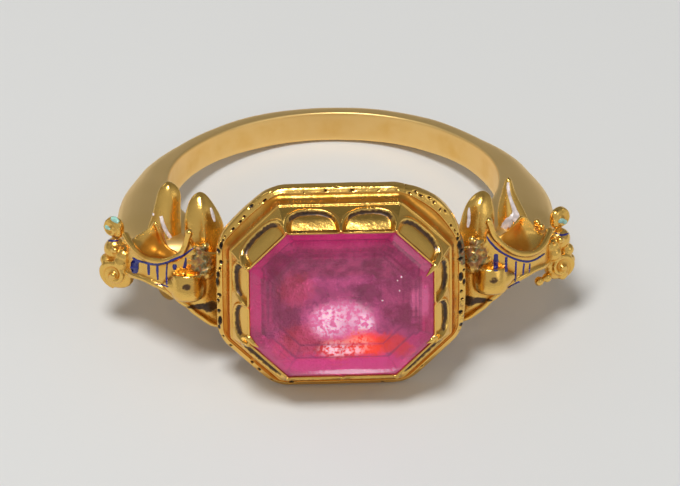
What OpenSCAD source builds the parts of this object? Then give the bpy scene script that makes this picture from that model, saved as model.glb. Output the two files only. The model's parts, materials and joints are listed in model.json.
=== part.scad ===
// Gold ring with an octagonal, cusped bezel that holds one pink step-cut stone over foil,
// and with scrolled, enamelled shoulders.
// Drawn in the ring's own frame: the finger passes along Z, and the stone faces -Y.
// The last transform lays the ring down as it rests by itself, on the bezel's lower edge
// and the hoop's back.

/* [Hoop] */
// Radius of the finger hole
bore_r = 8.5; // [7.5:0.25:9.5]
// Thickness of the hoop, from the finger hole to its domed outside
hoop_t = 1.1; // [0.9:0.1:1.5]
// Width of the hoop along the finger
hoop_w = 1.8; // [1.4:0.1:2.4]

/* [Stone] */
// Length of the stone at its girdle, across the finger
stone_l = 9.2; // [8.6:0.1:9.8]
// Width of the stone at its girdle, along the finger
stone_w = 7.9; // [7.3:0.1:8.5]
// How far each cut corner reaches along both sides
stone_cut = 1.9; // [1.6:0.1:2.4]
// Height of the table above the girdle
table_rise = 0.55; // [0.4:0.05:0.8]
// Width of the crown's facets, in plan
crown_w = 0.96; // [0.8:0.02:1.2]
// Depth of the stone below its girdle
pavilion_d = 1.9; // [1.4:0.1:2.1]

/* [Bezel] */
// Distance from the finger's axis to the stone's girdle
girdle_y = 12.6; // [12.4:0.1:13]
// Depth of the bezel, from the girdle to its back plate
bezel_d = 3.4; // [3.2:0.1:3.6]
// Depth of the scoops between the cusps
scoop_d = 0.34; // [0.2:0.02:0.4]
// Small gap that is left between pieces
gap = 0.04; // [0.02:0.01:0.06]

/* [Shoulders] */
// Radius of the drum that carries each shoulder's spool-shaped face
drum_r = 3.65; // [3.5:0.05:3.8]
// Half thickness of the spool between its rims
spool_floor = 0.42; // [0.3:0.02:0.5]
// Radius of the volutes at the outer end
volute_r = 1.0; // [0.9:0.02:1.1]
// Radius of the rolled scroll beside the bezel
pod_r = 0.85; // [0.75:0.05:0.9]

/* [Hidden] */
DIRECTION = 0;
$fn = 24;

gold = "goldenrod";
tourmaline = "mediumvioletred";
silver_foil = "mistyrose";
cobalt = "mediumblue";

hoop_r = bore_r + hoop_t;
hoop_side = 0.25;                 // flat part of the hoop's side, before its dome
clear_r = bore_r + 0.3;           // everything but the hoop stays outside this radius

// The bezel's profile goes outward from the stone. q is the distance out from the stone's edge in plan
// and p the depth behind the girdle.
lip_q = 0.14;                     // outer edge of the thin lip round the stone
lip_p = -0.03;
arch_q = 0.78;                    // where the scoops' arched ends lie
slope = 2.0;                      // depth gained for each step outward on the upper slope
ledge_q = 0.9;                    // foot of the upper slope
flange_q = 1.62;                  // widest edge
flange_p = 2.6;
seat_in = 0.45;                   // how far the seat reaches in under the stone
seat_p = 0.42;
cavity_p = 2.55;                  // floor of the closed box behind the stone
step_in = 1.5;                    // where the stone's lower facets change their slope
step_p = 0.7 * pavilion_d;
under_slope = (step_p - seat_p) / step_in;
OUT = 0;
DEEP = 1;
bezel_outside = [
    // out, deep
    [ledge_q, 1.47],
    [0.96, 1.48],
    [1.03, 1.53],
    [1.07, 1.63],
    [1.11, 1.85],
    [1.22, 2.06],
    [1.34, 2.15],
    [1.45, 2.18],
    [1.53, 2.24],
    [1.57, 2.34],
    [flange_q, flange_p - 0.05],
    [flange_q, flange_p],
    [1.4, flange_p + 0.15],
    [0.5, 3.0],
    [-0.1, bezel_d - 0.1],
    [-0.3, bezel_d]
];
round_from = 0.85;                // rows wider than this have round corners
round_gain = 1.9;                 // corner radius gained for each step outward beyond that
half_turn = 22.5;                 // half of the angle that the outline turns at each corner

// The scoop's floor along its length, from the lip (0) to the arch (1), as a share of its full depth
ALONG = 0;
SINK = 1;
scoop_rows = [
    // along, sink
    [0.10, 0.30],
    [0.32, 0.70],
    [0.58, 1.0],
    [0.80, 0.95],
    [0.93, 0.55],
    [1, -0.12]
];
cusp_rise = 0.05;                 // how far the ridges between the scoops stand above the slope
arch_root = 0.12;                 // length of a scoop at its cusps
arch_power = 2.6;                 // how square the round end is
// Places across one scoop, from one cusp (-1) towards the next (1)
scoop_places = [-1, -0.9, -0.7, -0.38, 0, 0.38, 0.7, 0.9];

stone_x = stone_l / 2;
stone_z = stone_w / 2;
// The octagon's corners, and how many scoops each side from a corner to the next holds
corners = [
    [stone_x, stone_cut - stone_z],
    [stone_x, stone_z - stone_cut],
    [stone_x - stone_cut, stone_z],
    [stone_cut - stone_x, stone_z],
    [-stone_x, stone_z - stone_cut],
    [-stone_x, stone_cut - stone_z],
    [stone_cut - stone_x, -stone_z],
    [stone_x - stone_cut, -stone_z]
];
scoops_on_side = [2, 1, 2, 1, 2, 1, 2, 1];
claw_corners = [1, 5, 0];         // right above, left below and right below
CLAW_OUT = 0;
CLAW_LOW = 1;
CLAW_HIGH = 2;
CLAW_HALF_W = 3;
claw_rows = [
    // out along the corner, lowest, highest, half width
    [0.34, -0.5, 0.02, 0.2],
    [0.1, -0.1, 0.2, 0.17],
    [-0.1, 0.14, 0.32, 0.12],
    [-0.34, 0.34, 0.44, 0.03]
];

// Rest: the bezel's lower edge and the hoop's back lower edge touch the ground
contact_r = bore_r + hoop_side;
flange_y = girdle_y - flange_p;
flange_z = stone_z + flange_q;
rest_tilt = atan2(flange_z - hoop_w / 2, flange_y + contact_r);
rest_lift = flange_z * cos(rest_tilt) - flange_y * sin(rest_tilt);
front_y = (girdle_y + table_rise) * cos(rest_tilt) + (stone_z - crown_w) * sin(rest_tilt);
back_y = hoop_r * cos(rest_tilt);
rest_shift = (front_y - back_y) / 2;

// The hoop is thicker and wider behind the bezel, and reaches both shoulders there
saddle_r = 9.9;
saddle_w = 2.8;
saddle_reach = 6.5;

// The right shoulder's drum
drum_x = 7.4;
drum_y = -5.57;
// Height of the spool's rims above and below its middle, by direction from the drum's axis
ABOVE = 1;
BELOW = 2;
rim_heights = [
    // direction, above, below
    [-118, 1.5, 3.1],
    [-112, 1.6, 3.0],
    [-106, 1.75, 2.85],
    [-100, 2.0, 2.6],
    [-94, 2.3, 2.25],
    [-88, 2.2, 1.9],
    [-82, 1.75, 1.6],
    [-76, 1.3, 1.3],
    [-70, 0.98, 1.02],
    [-64, 0.76, 0.84],
    [-56, 0.62, 0.7],
    [-48, 0.56, 0.64],
    [-40, 0.62, 0.68],
    [-32, 0.8, 0.8],
    [-24, 0.9, 0.88],
    [-16, 0.8, 0.8]
];
rim_w = 0.3;
face_in = 0.16;                   // how far the enamelled face lies below its rims
face_r = drum_r - face_in;

// The hoop's swelling towards the shoulder
REACH = 1;
HALF_W = 2;
root_rows = [
    // direction, outer radius, half width
    [34, 9.4, 0.82],
    [26, 9.85, 0.9],
    [18, 10.15, 0.94],
    [10, 10.42, 0.98],
    [2, 10.7, 1.02],
    [-6, 11.1, 1.06],
    [-13, 11.55, 1.1],
    [-20, 12.05, 1.12],
    [-27, 12.4, 1.05],
    [-34, 12.3, 0.8]
];

// The leaves that rise from the spool, in sections from the root to the tip
X = 0;
Y = 1;
Z = 2;
HALF_X = 3;
HALF_Y = 4;
outer_leaf_rows = [
    // x, y, z, half size in x, half size in y
    [9.25, -5.9, 0.1, 0.8, 0.55],
    [9.2, -5.85, 0.7, 0.72, 0.5],
    [9.1, -5.6, 1.3, 0.62, 0.44],
    [9.0, -5.3, 1.9, 0.55, 0.4],
    [8.88, -5.0, 2.45, 0.48, 0.36],
    [8.82, -4.85, 2.8, 0.36, 0.28],
    [8.8, -4.78, 3.0, 0.18, 0.15],
    [8.8, -4.76, 3.07, 0.05, 0.05]
];
inner_leaf_rows = [
    // x, y, z, half size in x, half size in y
    [7.2, -7.1, 0.1, 1.0, 0.9],
    [7.15, -6.95, 0.8, 0.92, 0.75],
    [7.1, -6.8, 1.6, 0.86, 0.64],
    [7.05, -6.65, 2.25, 0.78, 0.54],
    [7.0, -6.55, 2.75, 0.6, 0.42],
    [7.0, -6.5, 3.03, 0.36, 0.28],
    [7.0, -6.5, 3.16, 0.08, 0.08]
];

// The scrolls rolled up beside the bezel
RADIUS = 3;
HEIGHT = 4;
pods = [
    // x, y, z, radius, height
    [7.5, -9.25, -0.68, pod_r, 0.96],
    [7.2, -8.85, 0.58, 0.62 * pod_r, 0.75]
];
pod_hollow = 0.42;                // the roll's open middle, as a share of its radius
volute_turn = -35;                // direction that the volutes face
volutes = [
    // x, y, z, radius
    [11.15, -5.75, 1.02, 0.85 * volute_r],
    [11.15, -5.75, -1.22, 1.04 * volute_r]
];
volute_l = 0.7;
volute_ridge_r = 0.17;
bead_r = 0.27;
// Small granules: two under the outer end of the spool, two on its upper rim
granules = [
    // x, y, z
    [10.68, -6.62, -1.66],
    [10.27, -6.82, -1.58],
    [10.45, -6.95, 1.02],
    [10.85, -6.6, 0.96]
];
granule_r = 0.26;

face_turn = -62;                  // direction that the enamelled face looks
enamel_t = 0.08;
enamel_r = face_r + gap;
line_w = 0.15;
line_drop = rim_w + 0.1;
line_ends = -27;
SIDE = 0;
UP = 1;
STARTS = 2;
enamel_lines = [
    // side of the spool, up or down, direction where it starts
    [ABOVE, 1, -97],
    [BELOW, -1, -75]
];
face_edges = [
    // side of the spool, up or down, direction where it starts
    [ABOVE, 1, -97],
    [BELOW, -1, -97]
];
STRIPE_W = 1;
LOWEST = 2;
stripes = [
    // direction, width, lowest; each runs up to the line under the upper rim
    [-80.5, 0.36, 0],
    [-74, 0.2, -0.15],
    [-66.5, 0.2, -1],
    [-59.5, 0.17, -1],
    [-53, 0.15, -1]
];

function backwards(list) = [for (i = [len(list) - 1:-1:0]) list[i]];

// A closed skin through rings of points, which all have the same number of points.
// Each ring runs anticlockwise as seen from beyond the last one.
module loft(rings) {
    n = len(rings[0]);
    m = len(rings);
    sides = [
        for (j = [0:m - 2], i = [0:n - 1])
            let (a = j * n + i, b = j * n + (i + 1) % n)
                each [[a, b + n, b], [a, a + n, b + n]]
    ];
    first_cap = [for (i = [0:n - 1]) i];
    last_cap = [for (i = [n - 1:-1:0]) (m - 1) * n + i];
    polyhedron([for (ring = rings) each ring], concat([first_cap], sides, [last_cap]));
}

function corner(i) = corners[i % 8];
function outward(i) =
    let (side = corner(i + 1) - corner(i), unit = side / norm(side)) [unit.y, -unit.x];
// How a corner moves when both its sides move out by one
function miter(i) =
    let (a = outward((i + 7) % 8), b = outward(i % 8)) (a + b) / (1 + a * b);
// The wide rows have rounded corners. This is how far a point pulls in, by its distance from a corner.
function corner_radius(out) = out > round_from ? (out - round_from) * round_gain : 0;
function pulled_in(distance, radius) =
    let (reach = radius * tan(half_turn) - distance)
        reach > 0 ? radius - sqrt(radius * radius - reach * reach) : 0;
function octagon_point(side, share, out) =
    let (
        a = corner(side) + out * miter(side),
        b = corner(side + 1) + out * miter(side + 1),
        radius = corner_radius(out),
        length = norm(b - a),
        in = pulled_in(share * length, radius) + pulled_in((1 - share) * length, radius)
    )
        share == 0
            ? a - miter(side) * radius * (1 - cos(half_turn))
            : a + share * (b - a) - in * outward(side);

// Rings in the bezel's frame: x, y as in plan and z towards the viewer, zero at the girdle
function octagon_ring(out, deep) = [for (i = [0:7]) each [concat(corner(i) + out * miter(i), -deep)]];

// Every column of the bezel: its side, its share along that side and its place across its scoop
SHARE = 1;
PLACE = 2;
columns = [
    for (side = [0:7], scoop = [0:scoops_on_side[side] - 1], place = scoop_places)
        [side, (scoop + (place + 1) / 2) / scoops_on_side[side], place]
];
function column_point(column, out) = octagon_point(column[SIDE], column[SHARE], out);
function column_ring(out, deep) = [
    for (column = columns) concat(column_point(column, out), -deep)
];
function arch(place) =
    arch_root + (arch_q - lip_q - arch_root) * pow(1 - pow(abs(place), arch_power), 1 / arch_power);
function upper_slope(out) = lip_p + slope * (out - lip_q);
function scoop_ring(row) = [
    for (column = columns)
        let (
            out = lip_q + row[ALONG] * arch(column[PLACE]),
            sink = abs(column[PLACE]) == 1 ? -cusp_rise : row[SINK] * scoop_d
        )
            concat(column_point(column, out), -(upper_slope(out) + sink))
];

module bezel() {
    inside = [
        column_ring(-seat_in, cavity_p),
        column_ring(-seat_in, seat_p + seat_in * under_slope + gap),
        column_ring(gap, seat_p + gap),
        column_ring(gap, lip_p),
        column_ring(lip_q - 0.02, lip_p)
    ];
    scoops = [for (row = scoop_rows) scoop_ring(row)];
    outside = [for (row = bezel_outside) column_ring(row[OUT], row[DEEP])];
    translate([0, -girdle_y, 0])
        rotate([90, 0, 0])
            loft(backwards(concat(inside, scoops, outside)));
}

// A gold point that is folded over the stone's edge where two scoops meet at a corner
module claw(i) {
    way = miter(i) / norm(miter(i));
    across = [-way.y, way.x];
    loft(backwards([
        for (row = claw_rows)
            let (
                at = corner(i) + row[CLAW_OUT] * way,
                side = row[CLAW_HALF_W] * across,
                shoulder = (row[CLAW_LOW] + 2 * row[CLAW_HIGH]) / 3
            )
                [
                    concat(at - side, row[CLAW_LOW]),
                    concat(at + side, row[CLAW_LOW]),
                    concat(at + 0.7 * side, shoulder),
                    concat(at, row[CLAW_HIGH]),
                    concat(at - 0.7 * side, shoulder)
                ]
    ]));
}

module claws() {
    translate([0, -girdle_y, 0])
        rotate([90, 0, 0])
            for (i = claw_corners)
                claw(i);
}

module saddle() {
    // fills the space between the hoop and the bezel's back plate
    intersection() {
        cylinder(r = saddle_r, h = saddle_w, center = true, $fn = 90);
        translate([-saddle_reach, -saddle_r, -saddle_w])
            cube([2 * saddle_reach, saddle_r / 2, 2 * saddle_w]);
    }
}

module hoop() {
    dome_h = hoop_w / 2;
    dome = [
        for (a = [0:20:180])
            [bore_r + hoop_side + (hoop_t - hoop_side) * sin(a), -dome_h * cos(a)]
    ];
    rotate_extrude($fn = 120)
        polygon(concat([[bore_r, -dome_h]], dome, [[bore_r, dome_h]]));
}

function on_drum(direction, radius, z) =
    [drum_x + radius * cos(direction), drum_y + radius * sin(direction), z];

// One cross-section of the spool: face, rim, scooped side and inner end, then the same below
function spool_half(h) = [
    [face_r, h - rim_w - 0.06],
    [face_r + 0.12, h - rim_w + 0.03],
    [drum_r, h - 0.2],
    [drum_r, h - 0.08],
    [drum_r - 0.1, h],
    [drum_r - 0.25, h],
    [drum_r - 0.36, h - 0.1],
    [drum_r - 0.5, min(h - 0.1, max(spool_floor, h - 0.5))],
    [drum_r - 0.9, min(h - 0.15, max(spool_floor, h - 1.1))],
    [drum_r - 1.5, min(h - 0.15, spool_floor)],
    [1.0, min(h - 0.15, spool_floor)]
];
function spool_ring(row) =
    let (above = spool_half(row[ABOVE]), below = spool_half(row[BELOW]), last = len(above) - 1)
        concat(
            [for (i = [0:last]) on_drum(row[DIRECTION], above[i].x, above[i].y)],
            [for (i = [last:-1:0]) on_drum(row[DIRECTION], below[i].x, -below[i].y)]
        );

module spool() {
    loft(backwards([for (row = rim_heights) spool_ring(row)]));
}

function root_ring(row) =
    let (inner = bore_r + 0.1, reach = row[REACH] - inner, w = row[HALF_W])
        [
            for (a = [0:20:180])
                let (r = inner + reach * pow(sin(a), 0.7))
                    [r * cos(row[DIRECTION]), r * sin(row[DIRECTION]), -w * cos(a)]
        ];

module root() {
    loft([for (row = root_rows) root_ring(row)]);
}

module leaf(rows) {
    loft([
        for (row = rows)
            [for (a = [0:30:330]) [row[X] + row[HALF_X] * cos(a), row[Y] + row[HALF_Y] * sin(a), row[Z]]]
    ]);
}

module leaves() {
    leaf(outer_leaf_rows);
    leaf(inner_leaf_rows);
}

module pod(row) {
    translate([row[X], row[Y], row[Z]])
        difference() {
            cylinder(r = row[RADIUS], h = row[HEIGHT], center = true);
            for (end = [-1, 1])
                translate([0, 0, end * row[HEIGHT] / 2])
                    cylinder(r = pod_hollow * row[RADIUS], h = 0.5, center = true);
        }
}

module volute(r) {
    // a disc with a raised ring and a bead at its eye, facing outward
    rotate([0, 0, volute_turn])
        rotate([0, 90, 0]) {
            cylinder(r = r, h = volute_l, center = true);
            translate([0, 0, volute_l / 2])
                rotate_extrude()
                    translate([r - volute_ridge_r, 0])
                        circle(r = volute_ridge_r, $fn = 8);
            translate([0, 0, volute_l / 2])
                sphere(r = bead_r, $fn = 10);
        }
}

module shoulder_shell() {
    spool();
    root();
    for (up = [0, 1])
        mirror([0, 0, up])
            leaves();
}

module shoulder_round() {
    for (row = pods)
        pod(row);
    for (row = volutes)
        translate([row[X], row[Y], row[Z]])
            volute(row[RADIUS]);
    for (at = granules)
        translate(at)
            sphere(r = granule_r, $fn = 9);
}

module right_and_left() {
    children();
    mirror([1, 0, 0])
        children();
}

module goldwork() {
    // one cast skin, held at the bezel's full height along the finger
    resize([0, 0, 2 * flange_z])
        union() {
            bezel();
            claws();
            saddle();
            right_and_left() {
                shoulder_shell();
                shoulder_round();
            }
        }
}

module laid_down() {
    translate([0, rest_shift, rest_lift])
        rotate([-rest_tilt, 0, 0])
            children();
}

module gold_ring() {
    color(gold)
        laid_down() {
            difference() {
                goldwork();
                cylinder(r = clear_r, h = 20, center = true, $fn = 120);
            }
            hoop();
        }
}

module stone() {
    step_rise = table_rise * 0.55;
    rows = [
        // out, deep
        [-2.7, pavilion_d],
        [-step_in, step_p],
        [0, seat_p],
        [0, 0],
        [-crown_w * 0.4, -step_rise],
        [-crown_w, -table_rise]
    ];
    color(tourmaline)
        laid_down()
            translate([0, -girdle_y, 0])
                rotate([90, 0, 0])
                    loft([for (row = rows) octagon_ring(row[OUT], row[DEEP])]);
}

module foil() {
    foil_t = 0.1;
    color(silver_foil)
        laid_down()
            translate([0, -girdle_y, 0])
                rotate([90, 0, 0])
                    loft([
                        octagon_ring(-seat_in - 0.1, cavity_p - gap),
                        octagon_ring(-seat_in - 0.1, cavity_p - gap - foil_t)
                    ]);
}

// Place along the drum's face, seen square on, of a direction from the drum's axis
function along_face(direction) = enamel_r * sin(direction - face_turn);

// An edge that follows a rim, at a distance below the rim's top
function edge(line, drop) = [
    for (row = rim_heights)
        if (row[DIRECTION] > line[STARTS] && row[DIRECTION] < line_ends)
            [along_face(row[DIRECTION]), line[UP] * (row[line[SIDE]] - drop)]
];

module enamel_outline() {
    for (line = enamel_lines)
        polygon(concat(edge(line, line_drop), backwards(edge(line, line_drop + line_w))));
    intersection() {
        polygon(concat(edge(face_edges[0], line_drop), backwards(edge(face_edges[1], line_drop))));
        for (row = stripes)
            translate([along_face(row[DIRECTION]) - row[STRIPE_W] / 2, row[LOWEST]])
                square([row[STRIPE_W], drum_r]);
    }
}

module blue_enamel() {
    // the outline, cut from a thin shell just clear of the drum's face
    intersection() {
        translate([drum_x, drum_y, -drum_r])
            difference() {
                cylinder(r = enamel_r + enamel_t, h = 2 * drum_r, $fn = 120);
                translate([0, 0, -1])
                    cylinder(r = enamel_r, h = 2 * drum_r + 2, $fn = 120);
            }
        translate([drum_x, drum_y, 0])
            rotate([0, 0, face_turn + 90])
                rotate([90, 0, 0])
                    linear_extrude(height = drum_r + 1)
                        enamel_outline();
    }
}

module blue_enamel_right() {
    color(cobalt)
        laid_down()
            blue_enamel();
}

module blue_enamel_left() {
    color(cobalt)
        laid_down()
            mirror([1, 0, 0])
                blue_enamel();
}

gold_ring();
stone();
foil();
blue_enamel_right();
blue_enamel_left();
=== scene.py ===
"""A gold finger ring with a pink step-cut stone: hoop, cusped bezel, scrolled shoulders and enamel."""

import json
import math
import random

import bpy
import numpy as np
from bpy.props import FloatProperty, PointerProperty, StringProperty
from mathutils import Matrix, Vector, noise
from mathutils.bvhtree import BVHTree


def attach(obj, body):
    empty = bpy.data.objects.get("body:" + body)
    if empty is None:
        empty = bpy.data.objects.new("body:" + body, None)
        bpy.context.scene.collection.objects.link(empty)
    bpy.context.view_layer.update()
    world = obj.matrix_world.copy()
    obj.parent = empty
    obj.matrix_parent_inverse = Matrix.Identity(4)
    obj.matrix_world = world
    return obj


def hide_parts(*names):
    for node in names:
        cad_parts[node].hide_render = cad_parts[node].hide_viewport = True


bl_info = {
    "name": "Tourmaline ring",
    "version": (1, 0, 0),
    "blender": (4, 5, 0),
    "location": "View3D > Sidebar > Ring",
    "description": "Builds the visible pieces of a gold ring round its packed solids",
    "category": "Add Mesh",
}

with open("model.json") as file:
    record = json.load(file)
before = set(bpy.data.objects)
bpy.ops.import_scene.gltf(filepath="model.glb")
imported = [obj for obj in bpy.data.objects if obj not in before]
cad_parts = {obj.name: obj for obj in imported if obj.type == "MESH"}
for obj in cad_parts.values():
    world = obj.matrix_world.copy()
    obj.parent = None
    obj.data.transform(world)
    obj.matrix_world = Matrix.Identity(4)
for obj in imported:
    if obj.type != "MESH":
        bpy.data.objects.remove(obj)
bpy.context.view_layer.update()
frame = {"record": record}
HOLE = frame["record"]["mounts"][0]
BORE_R = HOLE["dims"]["r_mm"]
TILT = math.atan2(HOLE["axis"][1], HOLE["axis"][2])

# Every piece is modelled in millimetres in the ring's own frame: the finger along Z, the stone facing -Y.
# This lays it down at its real size, as the solids lie.
LAY = Matrix.Translation(HOLE["pos_m"]) @ Matrix.Rotation(-TILT, 4, "X") @ Matrix.Scale(0.001, 4)

# The stone's plan at its girdle, how much is cut from each corner, and how far forward the girdle lies
STONE_L = 9.2
STONE_W = 7.9
STONE_CUT = 1.9
GIRDLE_Y = 12.6
# Sections are rows of two distances: out from the stone's edge, and deep below its girdle.
# The stone's facets: three rows of the lower side, the girdle, and the crown up to the table
STONE_ROWS = [
    (-2.7, 1.9),
    (-1.5, 1.33),
    (0.0, 0.42),
    (0.0, 0.0),
    (-0.384, -0.3025),
    (-0.65, -0.44),
    (-0.96, -0.55),
]
STONE_BEVEL = 0.045
# The foil: where its middle lies, its rows from there to the stone's edge, how far it lies inside the
# stone's skin, and its back
FOIL_MIDDLE = -3.9
FOIL_ROWS = 90
FOIL_OVERLAP = 0.02
FOIL_BACK = [(-0.04, 0.47), (-0.5, 0.74), (-0.55, 0.95), (-0.55, 2.45), (-3.0, 2.47)]
# Distances in from the stone's edge where painted shade lines darken the foil along the facets' steps
FOIL_SHADE_LINES = [0.9, 1.5]
# The bezel: its lip over the stone, the top of the arches, the slope's fall and the ledge at its foot
LIP_OUT = 0.14
LIP_DEEP = -0.03
ARCH_OUT = 0.78
SLOPE = 2.0
LEDGE_OUT = 0.9
# Its corners are rounded from here outward, and this much more with each millimetre
ROUND_FROM = 0.85
ROUND_GAIN = 2.5
SCOOPS_ON_SIDE = [2, 1, 2, 1, 2, 1, 2, 1]
# A scoop: how square its arch is, its share of its place, the widths of its wall and of the rim round it,
# and how much shallower it gets towards the arch
ARCH_POWER = 2.6
SCOOP_SHARE = 0.97
SCOOP_WALL = 0.17
SCOOP_RIM = 0.07
SCOOP_TILT = 0.5
# The bezel's inside, from the bottom of the box to the seat and the lip
BEZEL_INSIDE = [
    (-0.45, 2.55),
    (-0.45, 0.78),
    (0.04, 0.5),
    (0.04, 0.1),
    (0.045, LIP_DEEP - 0.01),
]
# Its outside, from the ledge over the cove and the edge to the back
BEZEL_OUTSIDE = [
    (LEDGE_OUT, 1.48),
    (0.95, 1.49),
    (0.99, 1.55),
    (1.02, 1.68),
    (1.06, 1.84),
    (1.13, 1.97),
    (1.21, 2.05),
    (1.28, 2.08),
    (1.31, 2.03),
    (1.36, 2.03),
    (1.43, 2.08),
    (1.5, 2.13),
    (1.57, 2.2),
    (1.61, 2.31),
    (1.62, 2.55),
    (1.58, 2.66),
    (1.4, 2.76),
    (0.5, 3.0),
    (-0.1, 3.3),
    (-0.3, 3.4),
]
# How far each side of the bezel's edge is bent outward, from the right side round by the top
BENT_OUT = [0.12, 0.5, 0.0, 0.14, 0.04, 0.0, 0.0, 0.0]

# The claws that are folded over the stone: root x, z, tip x, z, thickness
CLAWS = [
    (5.02, 2.34, 4.2, 1.64, 1.1),
    (-4.8, -1.66, -4.16, -2.2, 0.9),
    (4.78, -1.9, 4.2, -2.2, 0.7),
]
# along, thickness, half width
CLAW = [
    (0.0, 0.02, 0.14),
    (0.2, 0.12, 0.2),
    (0.4, 0.17, 0.19),
    (0.6, 0.16, 0.15),
    (0.8, 0.11, 0.09),
    (0.94, 0.06, 0.04),
    (1.0, 0.03, 0.01),
]
# The punched marks on each side of the bezel's edge: mean distance between them, relative size
PUNCHED = [0.5, 0.5, 1.1, 0.4, 0.45, 0.9, 3.0, 2.0]
PUNCH_SIZE = [1.0, 0.45, 0.45, 0.5, 0.85, 0.7, 0.5, 0.7]
# Where they lie, counted outward, and how deep they are
PUNCH_BAND = (1.36, 1.56)
PUNCH_DEPTH = 0.16
# Zones are rows of strength, place and reach. Where remains of solder and enamel stick to the bezel
CRUSTED = [
    (1.0, (6.3, -10.4, 1.9), (0.4, 0.6, 1.0)),
    (0.5, (6.0, -10.6, -1.6), (0.5, 0.8, 1.5)),
]

# Both shoulders are drawn at the right, and the left one is then mirrored. Each is a part of a drum round
# this axis, and a direction is in degrees round it.
DRUM_X = 7.4
DRUM_Y = -5.57
# direction, height of the upper rim on the right shoulder, on the left, depth of the lower rim
RIM_HEIGHTS = [
    (-118, 1.25, 1.25, 3.1),
    (-106, 1.35, 1.35, 2.85),
    (-96, 1.5, 1.5, 2.35),
    (-91, 1.75, 1.7, 2.1),
    (-88, 2.5, 2.3, 1.9),
    (-85, 2.2, 1.85, 1.72),
    (-80, 1.77, 1.35, 1.5),
    (-76, 1.48, 1.15, 1.3),
    (-70, 1.12, 0.95, 1.06),
    (-62, 0.8, 0.76, 0.84),
    (-55, 0.63, 0.7, 0.74),
    (-48, 0.52, 0.72, 0.68),
    (-40, 0.5, 0.82, 0.7),
    (-32, 0.58, 0.95, 0.8),
    (-24, 0.74, 1.1, 0.88),
    (-17, 0.9, 1.2, 0.85),
]
# direction, height of the right shoulder's upper wire, of the left's
WIRE_HEIGHTS = [
    (-87.5, 2.78, 2.5),
    (-86, 2.5, 2.2),
    (-84, 2.1, 1.75),
    (-80, 1.72, 1.3),
    (-72, 1.18, 0.98),
    (-62, 0.76, 0.76),
    (-49, 0.5, 0.72),
    (-38, 0.46, 0.86),
    (-28, 0.62, 1.05),
    (-17, 0.92, 1.25),
]
# angle from the hoop's back, outer radius, half width
HOOP_ROWS = [
    (0, 9.6, 0.81),
    (50, 9.58, 0.81),
    (58, 9.64, 0.84),
    (66, 9.88, 0.9),
    (74, 10.17, 0.95),
    (82, 10.44, 0.98),
    (90, 10.78, 1.03),
    (97, 11.15, 1.06),
    (104, 11.6, 1.1),
    (111, 12.1, 1.12),
    (118, 12.4, 1.05),
    (124, 12.2, 0.9),
    (130, 11.0, 1.0),
    (138, 10.0, 1.3),
    (150, 9.9, 1.4),
    (180, 9.9, 1.4),
]
# x, y, z, half size in x, half size in y
OUTER_LEAF_RIGHT = [
    (9.1, -5.9, 0.1, 0.95, 0.6),
    (9.05, -5.7, 0.8, 0.85, 0.55),
    (8.86, -5.35, 1.58, 0.7, 0.46),
    (8.76, -5.0, 2.34, 0.4, 0.35),
    (8.76, -4.85, 2.8, 0.24, 0.25),
    (8.77, -4.8, 3.05, 0.15, 0.16),
    (8.77, -4.78, 3.16, 0.04, 0.04),
]
OUTER_LEAF_LEFT = [
    (8.9, -5.9, 0.1, 1.0, 0.62),
    (8.8, -5.7, 0.9, 0.9, 0.56),
    (8.62, -5.3, 1.97, 0.72, 0.46),
    (8.5, -5.0, 2.75, 0.6, 0.38),
    (8.5, -4.88, 3.1, 0.42, 0.3),
    (8.52, -4.82, 3.28, 0.22, 0.2),
    (8.54, -4.8, 3.36, 0.05, 0.05),
]
INNER_LEAF_RIGHT = [
    (6.95, -7.1, 0.1, 1.05, 0.9),
    (7.0, -7.0, 1.0, 0.97, 0.78),
    (7.13, -6.85, 2.0, 0.84, 0.6),
    (7.22, -6.65, 2.66, 0.66, 0.48),
    (7.33, -6.5, 3.0, 0.44, 0.34),
    (7.38, -6.43, 3.15, 0.22, 0.19),
    (7.4, -6.4, 3.21, 0.05, 0.05),
]
INNER_LEAF_LEFT = [
    (6.6, -7.1, 0.1, 1.15, 0.9),
    (6.7, -7.0, 1.1, 1.08, 0.78),
    (6.82, -6.85, 2.2, 0.95, 0.6),
    (6.9, -6.65, 2.88, 0.68, 0.48),
    (6.94, -6.5, 3.26, 0.42, 0.33),
    (6.94, -6.42, 3.43, 0.22, 0.18),
    (6.94, -6.4, 3.5, 0.05, 0.05),
]
# The flared fold inside the upper rim: direction, radius of its top edge, its height on the right, the left
FOLD = [
    (-84, 2.8, 0.8, 0.5),
    (-76, 2.7, 1.3, 0.85),
    (-70, 2.62, 1.5, 0.98),
    (-64, 2.58, 1.58, 1.05),
    (-56, 2.52, 1.75, 1.25),
    (-49, 2.48, 1.88, 1.7),
    (-43, 2.45, 1.98, 2.12),
    (-38, 2.45, 2.04, 2.2),
    (-33, 2.48, 1.98, 1.95),
    (-26, 2.7, 1.6, 1.55),
    (-20, 2.95, 1.0, 1.2),
    (-15, 3.15, 0.75, 0.95),
]
# The turned end of the big scroll: radius, height
SCROLL_END = [
    (0.02, 0.62),
    (0.3, 0.66),
    (0.55, 0.74),
    (0.7, 0.84),
    (0.78, 0.83),
    (0.83, 0.72),
    (0.86, 0.35),
    (0.87, 0.0),
    (0.83, -0.28),
    (0.7, -0.47),
    (0.45, -0.58),
    (0.02, -0.62),
]
SCROLL_AT = (7.66, -9.15, -0.62)
SCROLL_LEAN = -15
# The scroll itself runs outward from its turned end: where from, how far, radius, and how it tapers
SCROLL_FROM = (7.85, -9.2, -0.42)
SCROLL_RUN = (1.05, 0.4, -0.02)
SCROLL_RADIUS = 0.66
SCROLL_TAPER = [1, 0.96, 0.9, 0.82, 0.73, 0.62, 0.48, 0.32, 0.14]
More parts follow.
